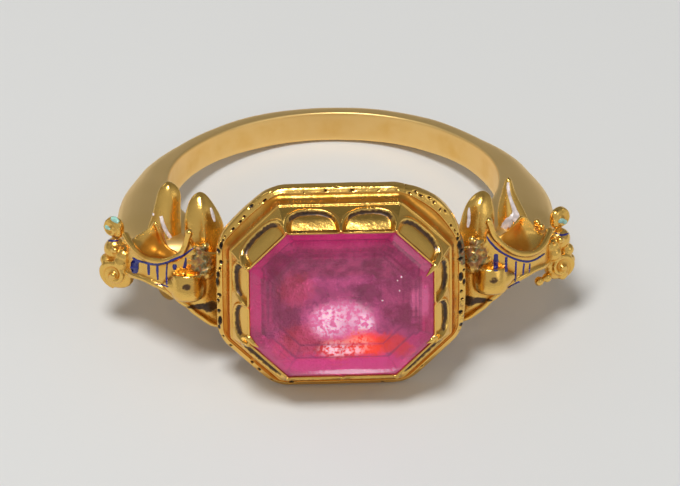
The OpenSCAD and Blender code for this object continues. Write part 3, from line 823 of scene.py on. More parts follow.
def crumpled_foil(colours):
    """Thin silver foil, tinted pink, crumpled and pressed against the stone: dull where it has tarnished and
    stained orange-red below. It glows though it is no lamp: a faint painted glow all over stands for what the
    stone gathers, with brighter painted glow, glints and highlights in its middle and lower part."""
    material, tree = new_material("crumpled_foil")
    place = ring_place(tree)
    cloud = add_node(tree, "TexNoise", Vector=place, Scale=0.7, Detail=7.0, Roughness=0.65)
    crumple = add_node(tree, "TexNoise", Vector=place, Scale=4.5, Detail=4.0, Roughness=0.65)
    ragged = add_node(tree, "Math", TIMES_PLUS, i0=crumple, i1=1.1, i2=-0.55)
    glints = add_node(tree, "MapRange", SOFT, Value=crumple, From_Min=0.42, From_Max=0.62)
    clouded = add_node(tree, "MapRange", SOFT, Value=cloud, From_Min=0.4, From_Max=0.6)
    colour = add_node(tree, "Mix", COLOUR, Factor=clouded, A=colours.body, B=colours.plum)
    framed = add_node(tree, "Attribute", {"attribute_name": "frame"}).outputs["Fac"]
    step_shaded = add_node(tree, "Attribute", {"attribute_name": "step_shade"}).outputs["Fac"]
    # A faint painted glow all over the foil, though it is no lamp
    light = 0.115
    # What lies over the foil: its colour, how strong, its painted glow, whether painted glints break it up,
    # and where: all along the stone's frame, along the painted shade lines, or in a ragged patch round x, z
    # with a reach in x and in z
    stains_and_glows = [
        (colours.magenta, 0.45, 0.16, False, "frame"),
        (colours.magenta, 0.5, 0.22, False, (-0.3, 3.1, 3.2, 0.7)),
        (colours.magenta, 0.6, 0.17, False, (-4.05, 0.3, 0.5, 1.7)),
        (colours.plum, 0.7, 0.05, False, (-3.15, 0.6, 0.4, 1.9)),
        (colours.magenta, 0.7, 0.27, False, (0.2, -3.3, 3.3, 0.45)),
        (colours.plum, 0.5, 0.08, False, (2.9, 0.9, 0.7, 0.8)),
        (colours.ember, 0.35, 0.18, False, (-1.9, -2.2, 1.3, 0.8)),
        (colours.ember, 0.25, 0.1, False, (-2.3, 0.6, 0.9, 0.9)),
        # Painted reflection on the right-hand facets, a painted highlight along the lowest facets, and the
        # painted glow of the middle: a pale pink base broken by white painted glints
        (colours.rose_glow, 0.8, 0.34, False, (3.8, 0.0, 0.3, 0.9)),
        (colours.glow, 0.75, 0.5, False, (0.5, -3.6, 1.9, 0.14)),
        (colours.rose_glow, 0.9, 0.42, False, (0.0, -1.25, 1.6, 1.05)),
        (colours.glow, 0.9, 0.72, True, (-0.75, -1.3, 0.8, 0.85)),
        (colours.glow, 0.9, 0.7, True, (1.2, -1.5, 0.5, 0.6)),
        (colours.glow, 0.6, 0.6, True, (0.2, -0.8, 1.3, 0.6)),
        (colours.glow, 0.5, 0.5, True, (0.3, -1.55, 0.9, 0.5)),
        # The orange-red stain below, which glows and carries painted glints, with brighter glowing apricot
        # and white in it
        (colours.ember, 1.0, 0.6, False, (1.35, -2.5, 1.1, 0.55)),
        (colours.ember, 0.9, 0.6, True, (1.0, -2.05, 0.8, 0.35)),
        (colours.ember, 0.7, 0.2, False, (2.6, -2.4, 0.75, 0.5)),
        (colours.ember, 0.75, 0.35, False, (-0.15, -2.7, 1.0, 0.45)),
        (colours.apricot, 0.9, 0.7, True, (-0.15, -2.6, 0.9, 0.5)),
        (colours.glow, 0.8, 0.7, True, (-0.3, -2.7, 0.9, 0.35)),
        (colours.apricot, 0.9, 0.75, True, (0.85, -2.45, 0.75, 0.45)),
        (colours.glow, 0.5, 0.7, True, (0.6, -2.75, 0.5, 0.25)),
        # Four specks of painted glint
        (colours.glow, 1.0, 1.0, False, (3.02, 1.24, 0.045, 0.05)),
        (colours.glow, 1.0, 1.0, False, (2.82, 1.02, 0.035, 0.035)),
        (colours.glow, 1.0, 0.8, False, (2.92, 0.46, 0.035, 0.05)),
        (colours.glow, 1.0, 1.0, False, (2.07, -0.18, 0.05, 0.035)),
        # Painted shade lines along the facets' steps and corners
        (colours.plum, 0.55, 0.05, False, "step_shade"),
    ]
    for tone, strength, given, sparkles, where in stains_and_glows:
        if where == "frame":
            inside = framed
        elif where == "step_shade":
            inside = step_shaded
        else:
            x, z, reach_x, reach_z = where
            away = add_node(tree, "VectorMath", {"operation": "SUBTRACT"}, i0=place, i1=(x, 0, z))
            away = add_node(tree, "VectorMath", TIMES, i0=away, i1=(1 / reach_x, 0, 1 / reach_z))
            away = add_node(tree, "VectorMath", {"operation": "LENGTH"}, i0=away)
            away = add_node(tree, "Math", PLUS, i0=away, i1=ragged if reach_x > 0.1 else 0.0)
            inside = add_node(tree, "MapRange", SOFT, Value=away, From_Min=1.4, From_Max=0.6)
        inside = add_node(tree, "Math", TIMES, i0=inside, i1=strength)
        if sparkles:
            inside = add_node(tree, "Math", TIMES, i0=inside, i1=glints)
        colour = add_node(tree, "Mix", COLOUR, Factor=inside, A=colour, B=tone)
        light = add_node(tree, "Mix", Factor=inside, A=light, B=given)
    bump = add_node(tree, "Bump", Height=crumple, Strength=0.8, Distance=0.0002)
    # The painted glow that the foil gives out
    gathered = add_node(tree, "VectorMath", {"operation": "SCALE"}, i0=colour, Scale=light)
    shader = add_node(tree, "BsdfPrincipled", Base_Color=colour, Roughness=0.3, Metallic=1.0,
                      Normal=bump, Emission_Color=gathered, Emission_Strength=1.0)
    add_node(tree, "OutputMaterial", Surface=shader)
    return material


class RING_OT_hoop(bpy.types.Operator):
    """Adds the plain hoop, which swells towards the shoulders"""

    bl_idname = "ring.hoop"
    bl_label = "Hoop"

    def execute(self, context):
        sizes = context.scene.ring_sizes
        deselect()
        tube = 0.5
        bpy.ops.mesh.primitive_torus_add(
            major_radius=BORE_R + tube, minor_radius=tube, major_segments=300, minor_segments=30)
        ob = context.object
        ob.name = "gold_hoop"
        ob.data.name = "gold_hoop"
        table = np.array(HOOP_ROWS, dtype=float)
        points = coordinates(ob.data)
        direction = np.arctan2(points[:, 1], points[:, 0])
        radius = np.hypot(points[:, 0], points[:, 1])
        section = np.arctan2(points[:, 2], radius - BORE_R - tube)
        from_back = np.degrees(np.arccos(np.clip(np.sin(direction), -1, 1)))
        outer = np.interp(from_back, table[:, 0], table[:, 1])
        half = np.interp(from_back, table[:, 0], table[:, 2])
        # A domed outer side over a nearly flat inner one, whose edges are rubbed round.
        domed = np.cos(section)
        rubbed = 0.2
        out = BORE_R + rubbed + (outer - BORE_R - rubbed) * np.clip(domed, 0, 1) ** 0.85
        inner = BORE_R + rubbed * np.clip(1 + domed * 2.2, 0, 1)
        # Shallow flutes run along the roots of the shoulders, from 84 to 128 degrees from the back.
        swell = np.clip((from_back - 84) / 14, 0, 1) * np.clip((128 - from_back) / 10, 0, 1)
        flute = 0.13
        out -= swell * flute * np.cos(points[:, 2] / tube * math.pi * 2.2) * (domed > 0)
        new_radius = np.where(domed > 0, out, inner)
        level = half * np.sign(points[:, 2]) * np.clip(np.abs(np.sin(section)) * 1.12, 0, 1)
        points = np.stack([new_radius * np.cos(direction), new_radius * np.sin(direction), level], axis=1)
        set_coordinates(ob.data, points)
        modify(ob, "SMOOTH", factor=0.5, iterations=3)
        wobble(ob, 2.6, sizes.unevenness)
        wobble(ob, 0.7, sizes.unevenness * 0.25)
        mark_hollows(ob, 6)
        finish_piece(ob, bpy.data.materials["rubbed_gold"], "gold", "gold_ring")
        return {"FINISHED"}


def above_girdle(x, z):
    """Height of the stone's and the bezel's front above the girdle, at a place on the plan."""
    out = max(float((np.array((x, z)) - CORNERS[i]) @ OUTWARD[i]) for i in range(8))
    if out > LIP_OUT:
        return -LIP_DEEP - SLOPE * (out - LIP_OUT)
    return np.interp(-out, [-LIP_OUT, 0, 0.384, 0.96], [0.0, 0.0, 0.3025, 0.55])


def claw(root_x, root_z, tip_x, tip_z, thickness):
    """A gold point that is folded over the stone's edge where two scoops meet."""
    root = np.array((root_x, root_z))
    tip = np.array((tip_x, tip_z))
    across = np.array((-(tip - root)[1], (tip - root)[0])) / np.linalg.norm(tip - root)
    sunk = 0.16
    arch = ((-1, 0), (-0.95, 0.4), (-0.6, 0.82), (0, 1), (0.6, 0.82), (0.95, 0.4), (1, 0))
    rings = []
    for along, thick, half in spline(CLAW, 3):
        at = root + along * (tip - root)
        low = above_girdle(*at) - sunk
        high = low + sunk + thick * thickness
        ring = []
        for place, share in arch:
            p = at + place * half * across
            ring.append((p[0], -GIRDLE_Y - low - share * (high - low), p[1]))
        rings.append(np.array(ring))
    return from_grid("claw", rings)


class RING_OT_bezel(bpy.types.Operator):
    """Adds the octagonal bezel with its scooped cusps, moulded edge and punched marks"""

    bl_idname = "ring.bezel"
    bl_label = "Bezel"

    def execute(self, context):
        # A field over a fine grid makes the scoops, because their rims have to stay even round each arch.
        sizes = context.scene.ring_sizes
        in_scoop = 56
        side = []
        share = []
        place = []
        for i, scoops in enumerate(SCOOPS_ON_SIDE):
            for s in range(scoops):
                for k in range(in_scoop):
                    side.append(i)
                    share.append((s + k / in_scoop) / scoops)
                    place.append(2 * k / in_scoop - 1)
        side = np.array(side)
        share = np.array(share)
        place = np.array(place)
        half_width = SIDE_LENGTHS[side] / np.array(SCOOPS_ON_SIDE)[side] / 2
        ones = np.ones(len(side))
        normal_out = SLOPE / math.hypot(1, SLOPE)
        normal_deep = -1 / math.hypot(1, SLOPE)
        rings = [(ones * out, ones * deep, ones * 0) for out, deep in BEZEL_INSIDE]
        lip_width = 0.05
        slope_rows = 34
        for out in np.linspace(LIP_OUT - lip_width, LEDGE_OUT - 0.02, slope_rows):
            rise, shade_painted = scoop_rise(place, ones * out, half_width, sizes.scoop_depth, sizes.arch_rim)
            # The lip's inner edge, which is the first row, is rubbed down a little.
            deep = LIP_DEEP + SLOPE * max(out - LIP_OUT, 0) + (0.03 if out < LIP_OUT - 0.04 else 0)
            rings.append((out + rise * normal_out, deep + rise * normal_deep, shade_painted))
        for out, deep in spline(BEZEL_OUTSIDE, 4):
            rings.append((ones * out, ones * deep, ones * 0))
        random.seed(5)
        points = []
        shade_marks = []
        cove_shade = []
        pits = []
        along = np.concatenate([[0], np.cumsum(np.linalg.norm(np.diff(
            octagon_points(side, share, ones * 1.45), axis=0), axis=1))])
        for i, spacing in enumerate(PUNCHED):
            at = along[side == i].min() + random.uniform(0, spacing)
            while at < along[side == i].max():
                size = sizes.pit_radius * PUNCH_SIZE[i] * random.uniform(0.6, 1.3)
                pits.append((at, random.uniform(*PUNCH_BAND), size, random.choice([1, 1, 1.4, 2.4])))
                at += spacing * random.uniform(0.5, 1.6)
        for out, deep, shade_painted in rings:
            pressed = np.zeros(len(side))
            if PUNCH_BAND[0] - 0.12 < out.mean() < PUNCH_BAND[1] + 0.07 and deep.mean() < 2.6:
                for centre, middle, radius, stretch in pits:
                    away = np.hypot((along - centre) / stretch, out - middle)
                    pressed = np.maximum(pressed, np.clip(1.3 - away / radius, 0, 1))
            plan = octagon_points(side, share, out)
            depth = deep + PUNCH_DEPTH * pressed
            points.append(np.stack([plan[:, 0], depth - GIRDLE_Y, plan[:, 1]], axis=1))
            # The crescents' painted shadow, and the punched marks darkened inside
            shade_marks.append(np.maximum(shade_painted * 0.95, pressed * 1.5))
            # Painted shade makes the cove between the ledge and the edge browner than what stands out beside
            # it.
            cove_shade.append(0.66 * ones * (0.97 < out.mean() < 1.33) * (1.5 < deep.mean() < 2.2))
        ob = from_grid("gold_bezel", points)
        store(ob.data, "soil_and_shade", np.concatenate(shade_marks))
        ob = fuse("gold_bezel", [ob] + [claw(*row) for row in CLAWS])
        store(ob.data, "remains", zones(coordinates(ob.data), CRUSTED))
        wobble(ob, 1.7, sizes.unevenness * 0.8)
        mark_hollows(ob, 8)
        cove_shade = np.concatenate(cove_shade)
        deepen(ob, np.concatenate([cove_shade, np.zeros(len(ob.data.vertices) - len(cove_shade))]))
        finish_piece(ob, bpy.data.materials["chased_gold"], "gold", "gold_ring")
        return {"FINISHED"}


def on_drum(direction, radius, z):
    """A point of the right shoulder, by direction and distance from the drum's axis."""
    return (DRUM_X + radius * math.cos(direction), DRUM_Y + radius * math.sin(direction), z)


def wire(name, path, radius, shrink=None):
    """A round wire along a path, thinner or thicker along it where shrink says so."""
    curve = bpy.data.curves.new(name, "CURVE")
    curve.dimensions = "3D"
    curve.bevel_depth = radius
    curve.bevel_resolution = 3
    curve.use_fill_caps = True
    track = curve.splines.new("POLY")
    track.points.add(len(path) - 1)
    for i, p in enumerate(path):
        track.points[i].co = (*p, 1)
        track.points[i].radius = shrink[i] if shrink is not None else 1
    ob = bpy.data.objects.new(name, curve)
    bpy.context.collection.objects.link(ob)
    pick(ob)
    bpy.ops.object.convert(target="MESH")
    return bpy.context.object


def grow(name, rows, sides=24):
    """A leaf drawn up from a disc with two soft edges: extruded and scaled from one section to the next."""
    rows = [tuple(row) for row in rows]
    deselect()
    x, y, z, half_x, half_y = rows[0]
    bpy.ops.mesh.primitive_circle_add(vertices=sides, radius=1, fill_type="NGON")
    ob = bpy.context.object
    ob.name = name
    disc = coordinates(ob.data)
    fullness = 1.55
    reach = (np.abs(disc[:, 0]) ** fullness + np.abs(disc[:, 1]) ** fullness) ** (1 / fullness)
    set_coordinates(ob.data, disc / reach[:, None] * (half_x, half_y, 1) + (x, y, z))
    bpy.ops.object.mode_set(mode="EDIT")
    bpy.ops.mesh.select_all(action="SELECT")
    for before, row in zip(rows, rows[1:]):
        step = (row[0] - before[0], row[1] - before[1], row[2] - before[2])
        bpy.ops.mesh.extrude_region_move(TRANSFORM_OT_translate={"value": step})
        bpy.ops.transform.resize(
            value=(row[3] / before[3], row[4] / before[4], 1), center_override=(row[0], row[1], row[2]))
    bpy.ops.mesh.select_all(action="SELECT")
    bpy.ops.mesh.normals_make_consistent(inside=False)
    bpy.ops.object.mode_set(mode="OBJECT")
    return ob


def turned(name, profile, centre, sides=40):
    """A shape turned round an axis along the finger, from rows of radius and height."""
    angles = np.linspace(0, 2 * math.pi, sides, endpoint=False)
    return from_grid(name, [np.stack([
        centre[0] + radius * np.cos(angles),
        centre[1] + radius * np.sin(angles),
        np.full(sides, centre[2] + height)], axis=1) for radius, height in profile])


def ball(centre, radius):
    """One small ball of gold."""
    deselect()
    bpy.ops.mesh.primitive_uv_sphere_add(segments=18, ring_count=12, radius=radius, location=centre)
    bpy.ops.object.transform_apply(location=True, rotation=False, scale=False)
    return bpy.context.object


def volute(name, centre, radius, direction, hand, winds):
    """A swelling boss with a raised spiral on its outer face and a bead at its eye."""
    turn = math.radians(direction)
    out = Vector((math.cos(turn), math.sin(turn), 0.0))
    side = Vector((-math.sin(turn), math.cos(turn), 0.0))
    depth = 0.5 * radius
    fullness = 2.6
    boss = ball((0, 0, 0), 1.0)
    round_form = coordinates(boss.data)
    reach = (np.abs(round_form) ** fullness).sum(axis=1) ** (1 / fullness)
    set_coordinates(boss.data, round_form / reach[:, None])
    boss.data.transform(Matrix.Translation(centre) @ Matrix.Rotation(turn, 4, "Z")
                        @ Matrix.Diagonal((depth, radius * 0.92, radius * 0.92, 1)))
    path = []
    steps_a_turn = 48
    steps = int(steps_a_turn * winds)
    for i in range(steps + 1):
        share = i / steps
        angle = hand * (math.radians(-80) + 2 * math.pi * winds * share)
        reach = radius * 0.9 * (1 - 0.8 * share)
        height = depth * math.sqrt(max(0.0, 1 - (reach / radius) ** 2)) + 0.03
        path.append(Vector(centre) + side * reach * math.cos(angle)
                    + Vector((0, 0, reach * math.sin(angle))) + out * height)
    # The ridge starts thin and thins again towards the eye.
    thin = [min(1.0, 0.35 + 0.06 * i) * (1 - 0.45 * i / steps) for i in range(steps + 1)]
    ridge = wire(name + "_ridge", path, 0.17 * radius / 0.9, thin)
    eye = ball(Vector(centre) + out * (depth + 0.03), 0.2 * radius)
    return [boss, ridge, eye]


def flip_to_left(ob):
    """Mirrors a right-hand shape to the left shoulder."""
    ob.data.transform(Matrix.Scale(-1, 4, (1, 0, 0)))
    ob.data.flip_normals()


def spool_section(h):
    """The spool's section above its middle: distance from the drum's axis, height."""
    return [
        (3.49, 0.0),
        (3.49, 0.5 * (h - 0.2)),
        (3.49, h - 0.2),
        (3.45, h - 0.1),
        (3.38, h - 0.06),
        (3.32, h - 0.1),
        (3.2, min(h - 0.15, max(0.3, h - 0.55))),
        (2.85, min(h - 0.2, max(0.3, h - 1.2))),
        (2.3, min(h - 0.2, 0.3)),
        (1.0, min(h - 0.2, 0.3)),
    ]


def fold(left):
    """The flared sheet inside the upper rim, hollow to the front, with a thin top edge."""
    directions, right_wire, left_wire = zip(*WIRE_HEIGHTS)
    hollow = 0.24
    low_r = 3.34
    rings = []
    for direction, top_r, right_z, left_z in spline(FOLD, 5):
        top_z = left_z if left else right_z
        low_z = np.interp(direction, directions, left_wire if left else right_wire) - 0.1
        chord = math.hypot(low_r - top_r, top_z - low_z)
        section = [(3.3, 0.2), (low_r, low_z - 0.2)]
        for s in np.linspace(0, 1, 9):
            sag = hollow * chord * math.sin(math.pi * s)
            section.append((low_r + (top_r - low_r) * s - sag * (top_z - low_z) / chord,
                            low_z + (top_z - low_z) * s - sag * (low_r - top_r) / chord))
        section += [(top_r - 0.08, top_z + 0.02), (top_r - 0.17, top_z - 0.06), (top_r - 0.5, top_z - 0.6),
                    (top_r - 0.7, 0.2)]
        rings.append(np.array([on_drum(math.radians(direction), r, z) for r, z in section]))
    return from_grid("fold", rings)


def shoulder_shapes(left):
    """All the closed shapes of one shoulder, drawn for the right and mirrored if asked."""
    column = 2 if left else 1
    parts = []
    rings = []
    lower = []
    for row in spline(RIM_HEIGHTS, 4):
        angle = math.radians(row[0])
        ring = [on_drum(angle, r, z) for r, z in spool_section(row[column])]
        ring += [on_drum(angle, r, -z) for r, z in spool_section(row[3])[:0:-1]]
        rings.append(np.array(ring))
        lower.append(on_drum(angle, 3.5, 0.15 - row[3]))
    parts.append(from_grid("spool", rings))
    upper = [on_drum(math.radians(row[0]), 3.5, row[column]) for row in spline(WIRE_HEIGHTS, 6)]
    # The upper rim is thinner in its middle, and a bead closes each end.
    thin = [1.15 - 0.25 * math.sin(math.pi * i / (len(upper) - 1)) for i in range(len(upper))]
    parts.append(wire("upper_rim", upper, 0.17, thin))
    parts.append(ball(upper[0], 0.21))
    parts.append(ball(upper[-1], 0.2))
    parts.append(wire("lower_rim", lower, 0.15))
    for rows in ((OUTER_LEAF_LEFT, INNER_LEAF_LEFT) if left else (OUTER_LEAF_RIGHT, INNER_LEAF_RIGHT)):
        for up in (1, -1):
            leaf = grow("leaf", spline(rows, 3))
            if up < 0:
                leaf.data.transform(Matrix.Scale(-1, 4, (0, 0, 1)))
                leaf.data.flip_normals()
            parts.append(leaf)
    parts.append(fold(left))
    pod = turned("scroll_end", SCROLL_END, (0, 0, 0))
    pod.data.transform(Matrix.Translation(SCROLL_AT) @ Matrix.Rotation(math.radians(SCROLL_LEAN), 4, "X"))
    parts.append(pod)
    along = np.linspace(0, 1, len(SCROLL_TAPER))[:, None]
    scroll = np.array(SCROLL_FROM) + along * np.array(SCROLL_RUN)
    parts.append(wire("scroll", scroll, SCROLL_RADIUS, SCROLL_TAPER))
    parts += volute("upper_volute", *UPPER_VOLUTE)
    parts += volute("lower_volute", *(LOWER_VOLUTE_LEFT if left else LOWER_VOLUTE_RIGHT))
    for x, y, z, r in GRAINS + SOLDER + ([] if left else GRAINS_RIGHT):
        parts.append(ball((x, y, z), r))
    if left:
        for part in parts:
            flip_to_left(part)
    return parts


class RING_OT_shoulders(bpy.types.Operator):
    """Adds both shoulders: spool, rims, leaves, scrolls, volutes and granules, fused as cast"""

    bl_idname = "ring.shoulders"
    bl_label = "Shoulders"

    def execute(self, context):
        sizes = context.scene.ring_sizes
        for name, left in (("gold_shoulder_right", False), ("gold_shoulder_left", True)):
            ob = fuse(name, shoulder_shapes(left))
            modify(ob, "REMESH", mode="VOXEL", voxel_size=sizes.voxel, adaptivity=0.0)
            modify(ob, "SMOOTH", factor=0.5, iterations=4)
            wobble(ob, 0.8, sizes.unevenness)
            wobble(ob, 0.2, sizes.unevenness * 2, SOLDER_AT, SOLDER_REACH)
            mark_hollows(ob, 10)
            points = coordinates(ob.data)
            points[:, 0] = np.abs(points[:, 0])
            # Painted shade in the dark gaps beside the bezel and at the scroll's end, and deeper-orange
            # painted shade in the fold
            store(ob.data, "soil_and_shade", zones(points, SHADED_GAPS))
            store(ob.data, "remains", zones(points, LUMPED))
            deepen(ob, zones(points, FOLD_BOUNCE_SHADE))
            finish_piece(ob, bpy.data.materials["cast_gold"], "gold", "gold_ring")
        return {"FINISHED"}


def pavilion_depth(out):
    """Depth of the stone's lower facets, by the distance out from its edge."""
    return np.interp(out, *zip(*STONE_ROWS[:3]))


class RING_OT_stone(bpy.types.Operator):
    """Gives the stone its material and adds the foil that is pressed against it"""

    bl_idname = "ring.stone"
    bl_label = "Stone and foil"

    def execute(self, context):
        colours = context.scene.ring_colours
        rings = []
        for out, deep in STONE_ROWS:
            plan = octagon_points(np.arange(8), np.zeros(8), np.full(8, float(out)))
            rings.append(np.stack([plan[:, 0], np.full(8, deep - GIRDLE_Y), plan[:, 1]], axis=1))
        ob = from_grid("cut_stone", rings)
        modify(ob, "BEVEL", width=STONE_BEVEL, segments=2, limit_method="ANGLE",
               angle_limit=math.radians(4))
        finish_piece(ob, cut_stone(colours), "tourmaline", "stone")
        bpy.ops.object.shade_flat()
        # The foil's upper side touches the stone's lower facets, and its lower side fills the box below.
        across = np.linspace(FOIL_MIDDLE, FOIL_BACK[0][0], FOIL_ROWS)
        rows = [(out, pavilion_depth(out) - FOIL_OVERLAP) for out in across]
        rows += FOIL_BACK
        each = 48
        side = np.repeat(np.arange(8), each)
        share = np.tile(np.arange(each) / each, 8)
        from_corner = np.minimum(share, 1 - share) * SIDE_LENGTHS[side]
        rings = []
        framed = []
        step_shaded = []
        for out, deep in rows:
            plan = octagon_points(side, share, np.full(8 * each, float(out)))
            rings.append(np.stack([plan[:, 0], np.full(8 * each, deep - GIRDLE_Y), plan[:, 1]], axis=1))
            framed.append(np.full(8 * each, np.clip((out + 0.9) / 0.08, 0, 1)))
            # Painted shade lines along the facets' steps, and fainter ones along the corners
            step = max(math.exp(-((out + line) / 0.05) ** 2) for line in FOIL_SHADE_LINES)
            step_shaded.append(np.maximum(step, 0.5 * np.clip(1.2 - from_corner / 0.12, 0, 1) * (out > -1.5)))
        ob = from_grid("stone_foil", rings)
        store(ob.data, "frame", np.concatenate(framed))
        store(ob.data, "step_shade", np.concatenate(step_shaded))
        finish_piece(ob, crumpled_foil(colours), "foil", "foil")
        return {"FINISHED"}


def view_axes():
    """The viewer's side of the ring, and the turn of a camera there."""
    way = look_from(VIEW_AZIMUTH, VIEW_ELEVATION)
    return way, (-way).to_track_quat("-Z", "Y")


def picture_point(across, up):
    """A point on the plane that faces the viewer through the finger's axis, by millimetres from there."""
    turn = view_axes()[1]
    return Vector(HOLE["pos_m"]) + (turn @ Vector((across, up, 0))) / 1000


def eye_point():
    """Where the viewer's eye is."""
    across = (MIDDLE_PIXEL[0] - AXIS_PIXEL[0]) / PIXELS_PER_MM
    up = (AXIS_PIXEL[1] - MIDDLE_PIXEL[1]) / PIXELS_PER_MM
    return picture_point(across, up) + view_axes()[0] * VIEW_DISTANCE


def drape(carrier, rows):
    """A thin ribbon that lies on the carrier wherever the rows show it from the front."""
    eye = LAY.inverted() @ eye_point()
    path = spline(rows, 5)
    way = np.gradient(path[:, :2], axis=0)
    way /= np.linalg.norm(way, axis=1)[:, None]
    columns = [-1, -0.7, 0, 0.7, 1]
    lifts = [-0.01, 0.025, 0.04, 0.025, -0.01]
    sunk = 0.06
    # The ribbon breaks off where the carrier falls back further than this, and its edges bridge this gap.
    longest_step = 0.8
    gap = 0.3
    rings = []
    last = None
    for (across, up, width), (a, b) in zip(path, way):
        middle = None
        top = []
        bottom = []
        width *= random.uniform(0.88, 1.1)
        for column in (0, -1, -0.7, 0.7, 1):
            aim = LAY.inverted() @ picture_point(across - b * column * width / 2, up + a * column * width / 2)
            ray = (aim - eye).normalized()
            hit, normal, _, distance = carrier.ray_cast(eye, ray)
            if column == 0:
                if hit is None or (last is not None and abs(distance - last) >= longest_step):
                    break
                middle = (distance, normal)
                last = distance
            elif hit is None or abs(distance - middle[0]) > gap:
                hit = eye + ray * middle[0]
            lift = lifts[columns.index(column)]
            top.append((column, hit + middle[1] * lift))
            bottom.append((-column, hit - middle[1] * sunk))
        if middle is None:
            continue
        ring = [p for _, p in sorted(top, key=lambda item: item[0])]
        ring += [p for _, p in sorted(bottom, key=lambda item: item[0])]
        rings.append(np.array([tuple(p) for p in ring]))
    return from_grid("ribbon", rings)


class RING_OT_enamel(bpy.types.Operator):
    """Adds the blue, white and turquoise enamel on the shoulders"""

    bl_idname = "ring.enamel"
    bl_label = "Enamel"

    def execute(self, context):
        random.seed(11)
        colours = context.scene.ring_colours
        finishes = {
            "blue": enamel("cobalt_enamel", colours.cobalt),
            "white": enamel("white_enamel", colours.white),
            "turquoise": enamel("turquoise_enamel", colours.turquoise),
        }
        work = [
            ("blue", "right", COBALT_RIGHT),
            ("blue", "left", COBALT_LEFT),
            ("white", "right", WHITE_RIGHT),
            ("white", "left", WHITE_LEFT),
            ("turquoise", "right", TURQUOISE_RIGHT),
            ("turquoise", "left", TURQUOISE_LEFT),
        ]
        for colour, hand, ribbons in work:
            mesh = bpy.data.objects["gold_shoulder_" + hand].data
            points = [LAY.inverted() @ Vector(p) for p in coordinates(mesh)]
            carrier = BVHTree.FromPolygons(points, [tuple(face.vertices) for face in mesh.polygons])
            ob = fuse(f"{colour}_lines_{hand}", [drape(carrier, rows) for rows in ribbons])
            replaced = [f"blue_enamel_{hand}"] if colour == "blue" else []
            finish_piece(ob, finishes[colour], "enamel", *replaced)
        return {"FINISHED"}


def look_from(azimuth, elevation):
    """Unit vector from the ring towards a viewer, in the ring's own frame, turned as the ring lies."""
    a, e = math.radians(azimuth), math.radians(elevation)
    way = Vector((math.sin(a) * math.cos(e), -math.cos(a) * math.cos(e), math.sin(e)))
    return Matrix.Rotation(-TILT, 3, "X") @ way


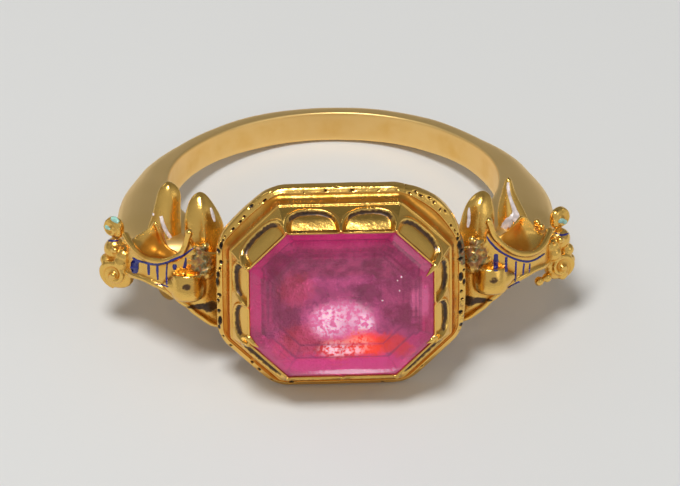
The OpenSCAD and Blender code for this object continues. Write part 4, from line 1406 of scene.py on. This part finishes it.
class RING_OT_stage(bpy.types.Operator):
    """Adds the floor, the lights and the camera"""

    bl_idname = "ring.stage"
    bl_label = "Stage"

    def execute(self, context):
        deselect()
        bpy.ops.mesh.primitive_plane_add(size=3.0, location=(0, 0.6, 0))
        floor = context.object
        floor.name = "floor"
        material, tree = new_material("pale_card")
        shader = add_node(tree, "BsdfPrincipled", Base_Color="#E2E2E0", Roughness=0.9)
        add_node(tree, "OutputMaterial", Surface=shader)
        floor.data.materials.append(material)
        # A studio: pale all round, dimmer overhead and behind, so that the gold keeps its contrast.
        world = bpy.data.worlds.new("studio")
        world.use_nodes = True
        tree = world.node_tree
        way = add_node(tree, "TexCoord").outputs["Generated"]
        parts = add_node(tree, "SeparateXYZ", Vector=way)
        behind = add_node(tree, "MapRange", SOFT, Value=parts.outputs["Y"], From_Min=-0.7, From_Max=0.75)
        above = add_node(tree, "MapRange", SOFT, Value=parts.outputs["Z"], From_Min=0.7, From_Max=1.0)
        shade = add_node(tree, "Mix", COLOUR, Factor=behind, A="#BABABA", B="#848482")
        shade = add_node(tree, "Mix", COLOUR, Factor=above, A=shade, B="#585858")
        background = tree.nodes["Background"]
        tree.links.new(shade.outputs["Result"], background.inputs["Color"])
        background.inputs["Strength"].default_value = 1.0
        context.scene.world = world
        context.scene.view_settings.view_transform = "Standard"
        centre = Vector((0, HOLE["pos_m"][1] - 0.006, 0.006))
        # size, power in watts, place
        lamps = [
            ("key", 0.11, 0.61, (-0.05, -0.07, 0.3)),
            ("fill", 0.14, 0.04, (0.22, -0.16, 0.16)),
            ("back", 0.1, 0.03, (-0.2, 0.18, 0.16)),
        ]
        for name, size, power, spot in lamps:
            lamp = bpy.data.lights.new(name, "AREA")
            lamp.shape = "DISK"
            lamp.size = size
            lamp.energy = power
            ob = bpy.data.objects.new(name, lamp)
            ob.location = spot
            ob.rotation_euler = (Vector(spot) - centre).to_track_quat("Z", "Y").to_euler()
            context.collection.objects.link(ob)
        camera = bpy.data.objects.new("camera", bpy.data.cameras.new("camera"))
        camera.location = eye_point()
        camera.rotation_euler = view_axes()[1].to_euler()
        metres_across = 2 * MIDDLE_PIXEL[0] / PIXELS_PER_MM / 1000
        camera.data.lens = VIEW_DISTANCE / metres_across * camera.data.sensor_width
        camera.data.clip_start = 0.01
        camera.data.clip_end = 10
        context.collection.objects.link(camera)
        context.scene.camera = camera
        return {"FINISHED"}


class RING_OT_finishes(bpy.types.Operator):
    """Makes the gold finishes that the pieces share"""

    bl_idname = "ring.finishes"
    bl_label = "Gold finishes"

    def execute(self, context):
        colours = context.scene.ring_colours
        # The hoop: painted light makes its gold paler than the rest, under a satin gloss
        worn_gold("rubbed_gold", colours.lit_pale_gold, colours.gold, colours, 0.42, 0.05)
        worn_gold("chased_gold", colours.gold, colours.deep_shaded_gold, colours, 0.15, 0.3, shade_painted=True)
        worn_gold("cast_gold", colours.gold, colours.deep_shaded_gold, colours, 0.2, 0.3, shade_painted=True)
        return {"FINISHED"}


class RING_PT_panel(bpy.types.Panel):
    """Lists the ring's operators and sizes"""

    bl_idname = "RING_PT_panel"
    bl_label = "Tourmaline ring"
    bl_space_type = "VIEW_3D"
    bl_region_type = "UI"
    bl_category = "Ring"

    def draw(self, context):
        for step in STEPS:
            self.layout.operator(step)
        for group in (context.scene.ring_sizes, context.scene.ring_colours):
            for name in group.bl_rna.properties.keys():
                if name not in ("rna_type", "name"):
                    self.layout.prop(group, name)


STEPS = ["ring.finishes", "ring.hoop", "ring.bezel", "ring.shoulders", "ring.stone", "ring.enamel",
         "ring.stage"]
CLASSES = [RingSizes, RingColours, RING_OT_finishes, RING_OT_hoop, RING_OT_bezel, RING_OT_shoulders,
           RING_OT_stone, RING_OT_enamel, RING_OT_stage, RING_PT_panel]


def register():
    """Adds the classes and their settings to Blender."""
    for cls in CLASSES:
        bpy.utils.register_class(cls)
    bpy.types.Scene.ring_sizes = PointerProperty(type=RingSizes)
    bpy.types.Scene.ring_colours = PointerProperty(type=RingColours)


def unregister():
    """Takes them out again."""
    del bpy.types.Scene.ring_colours
    del bpy.types.Scene.ring_sizes
    for cls in reversed(CLASSES):
        bpy.utils.unregister_class(cls)


def main():
    """Builds every piece and the stage."""
    register()
    for step in STEPS:
        group, name = step.split(".")
        getattr(getattr(bpy.ops, group), name)()


if __name__ == "__main__":
    main()
